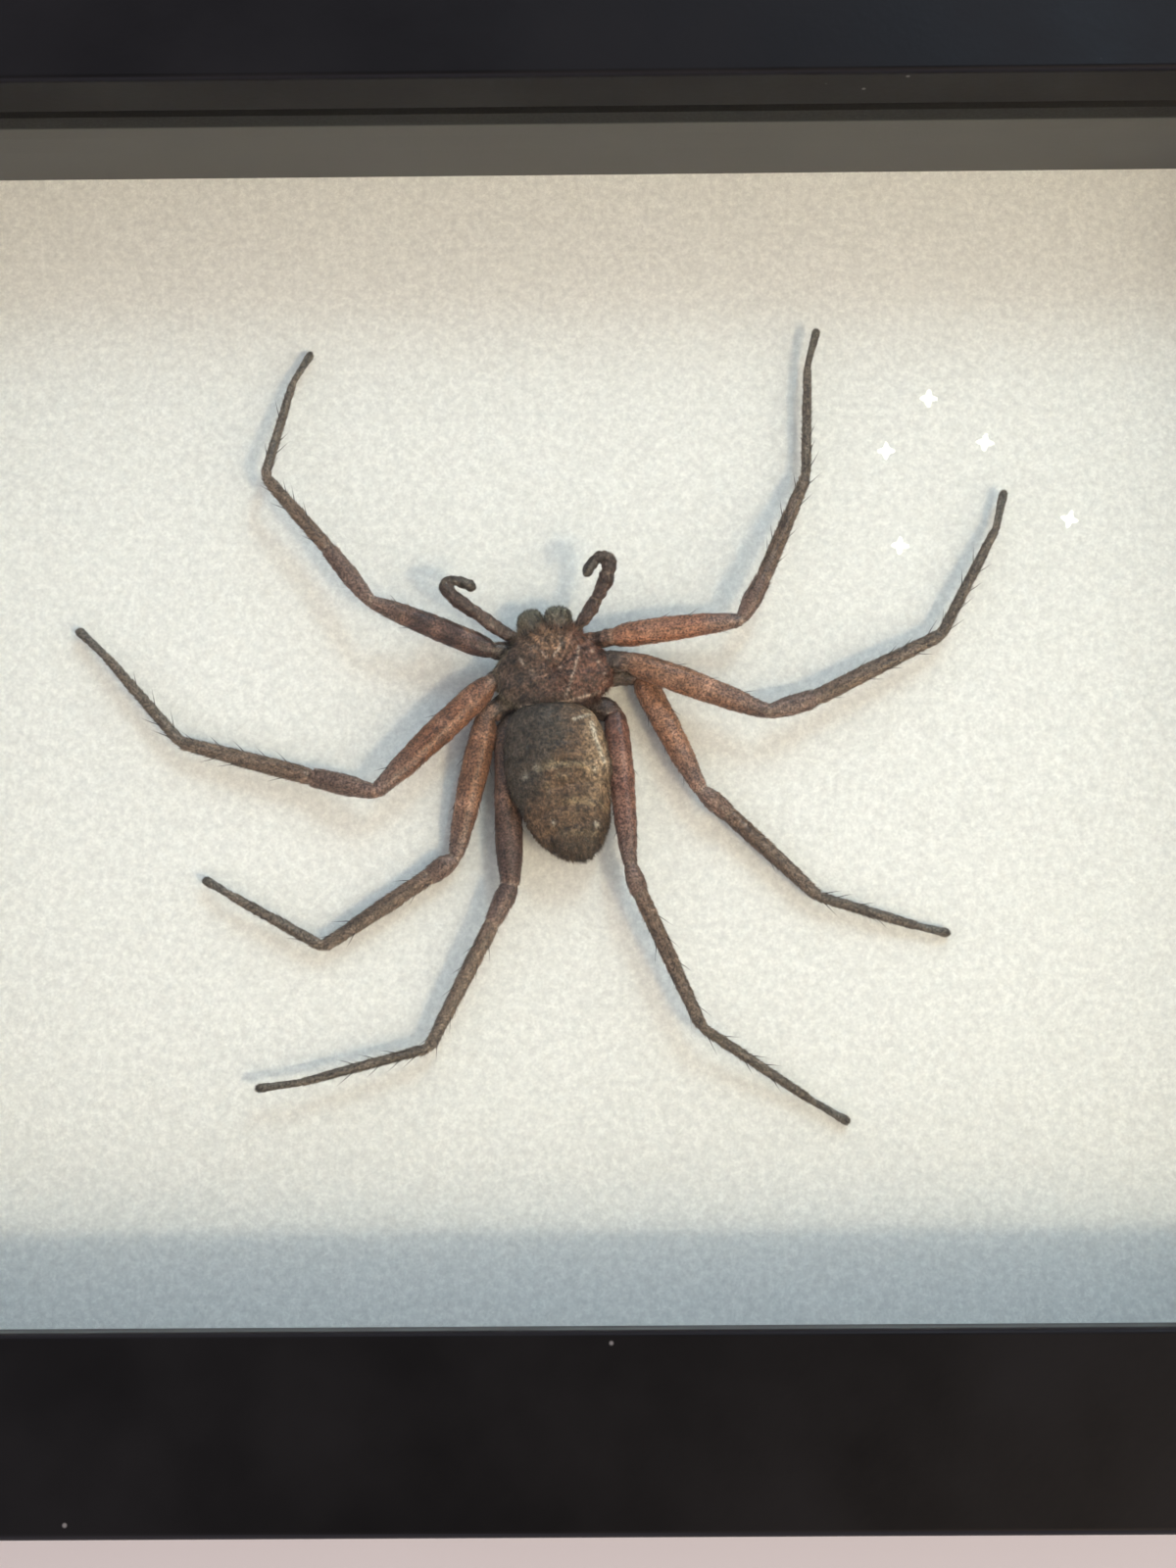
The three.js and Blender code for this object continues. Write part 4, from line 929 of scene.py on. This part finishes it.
# Pale matt floor, painted board.
floorLook = {"pale": "#e9e6e1", "shade": "#e0ddd7", "size": 3.0, "cloudsPerMetre": 8.0, "roughness": 0.8}
floorMaterial, tree, place = startMaterial("pale_painted_floor")
cloud = addNode(tree, "TexNoise", {"Vector": place, "Scale": floorLook["cloudsPerMetre"], "Detail": 3})
colour = addNode(tree, "Mix", {
    0: cloud, 6: floorLook["pale"], 7: floorLook["shade"]}, data_type="RGBA")
endMaterial(tree, addNode(tree, "BsdfPrincipled", {"Base Color": colour, "Roughness": floorLook["roughness"]}))
half = floorLook["size"] / 2
floorMesh = bpy.data.meshes.new("floor")
corners = [(-half, -half, 0), (half, -half, 0), (half, half, 0), (-half, half, 0)]
floorMesh.from_pydata(corners, [], [(0, 1, 2, 3)])
floorMesh.materials.append(floorMaterial)
floor = addObject("floor", floorMesh)

# A small warm lamp in a broader warm glow from the near right, and a cool window strip from the far right
# that hangs level. Places are metres over the board, and across is a lamp's size in metres.
lamps = {"warm_lamp": {"place": (0.56, -0.45, 1.0), "across": (0.08, 0.08), "watts": 3.2,
                       "colour": (1.0, 0.87, 0.67)},
         "warm_glow": {"place": (0.5, -0.55, 1.0), "across": (0.35, 0.35), "watts": 1.7,
                       "colour": (1.0, 0.5, 0.12)},
         "cool_strip": {"place": (0.4, 0.88, 1.0), "across": (0.08, 0.45), "watts": 4.2,
                        "colour": (0.59, 0.84, 1.0), "level": True}}
# Little lamps whose reflections are the four-pointed glints in the glass: two crossed slits each.
glints = {"places": [(0.223, 0.547), (0.257, 0.589), (0.299, 0.553), (0.231, 0.471), (0.361, 0.491)],
          "height": 1.5, "slit": (0.014, 0.005), "turns": (20, 110), "watts": 0.0021,
          "colour": (1.0, 0.97, 0.92)}
# The sky is dark overhead and pale towards the sides: the shares are heights on it, 1 straight up.
room = {"overhead": (0.06, 0.062, 0.066), "walls": (1.38, 1.3, 1.55), "darkAbove": 0.88, "paleBelow": 0.7}


def addLamp(name, shape, place, across, watts, colour, level=False, turn=0.0):
    lamp = bpy.data.lights.new(name, "AREA")
    lamp.shape = shape
    lamp.size, lamp.size_y = across
    lamp.energy, lamp.color = watts, colour
    lampObject = addObject(name, lamp)
    lampObject.location = place
    if not level:
        aim = (Vector((0, 0, boardTop * mm)) - Vector(place)).to_track_quat("-Z", "Y").to_matrix()
        lampObject.rotation_euler = (aim @ Matrix.Rotation(turn, 3, "Z")).to_euler()
    lampObject.visible_transmission = False


for name, lamp in lamps.items():
    addLamp(name, "RECTANGLE" if "level" in lamp else "ELLIPSE", **lamp)
for i, (x, y) in enumerate(glints["places"]):
    for turn in glints["turns"]:
        addLamp("glint_%d_%d" % (i, turn), "ELLIPSE", (x, y, glints["height"]), glints["slit"], glints["watts"],
                glints["colour"], turn=math.radians(turn))
world = bpy.data.worlds.new("room")
world.use_nodes = True
sky = addNode(world.node_tree, "TexCoord").outputs["Generated"]
rise = addNode(world.node_tree, "SeparateXYZ", {0: sky}).outputs["Z"]
pale = addNode(world.node_tree, "MapRange", {
    "Value": rise, "From Min": room["darkAbove"], "From Max": room["paleBelow"]})
glow = addNode(world.node_tree, "Mix", {
    0: pale, 6: (*room["overhead"], 1), 7: (*room["walls"], 1)}, data_type="RGBA")
world.node_tree.links.new(glow.outputs[2], world.node_tree.nodes["Background"].inputs["Color"])
scene.world = world

# The camera of the photograph, in mm on the part: nearly over the glass, from the near side.
view = {"place": (7.0, -63.3, 286.0), "tilt": 11.5, "yaw": 0.48, "roll": -0.45, "lens": 54.09, "sensor": 36.0}


def turnAxes(a, b, angle):  # two axes turned about the third
    return a * math.cos(angle) + b * math.sin(angle), b * math.cos(angle) - a * math.sin(angle)


tilt, yaw, roll = (math.radians(view[k]) for k in ("tilt", "yaw", "roll"))
right, forward = Vector((1, 0, 0)), Vector((0, math.sin(tilt), -math.cos(tilt)))
upward = Vector((0, math.cos(tilt), math.sin(tilt)))
right, forward = turnAxes(right, forward, yaw)
right, upward = turnAxes(right, upward, roll)
cameraData = bpy.data.cameras.new("camera")
cameraData.lens, cameraData.sensor_width, cameraData.clip_start = view["lens"], view["sensor"], 0.01
camera = addObject("camera", cameraData)
axes = Matrix((right, upward, -forward)).transposed().to_4x4()
camera.matrix_world = Matrix.Translation(Vector(view["place"]) * mm) @ axes
scene.camera = camera
scene.view_settings.view_transform = "Standard"
scene.cycles.diffuse_bounces, scene.cycles.glossy_bounces, scene.cycles.transmission_bounces = 2, 2, 4
print("lights and camera set")
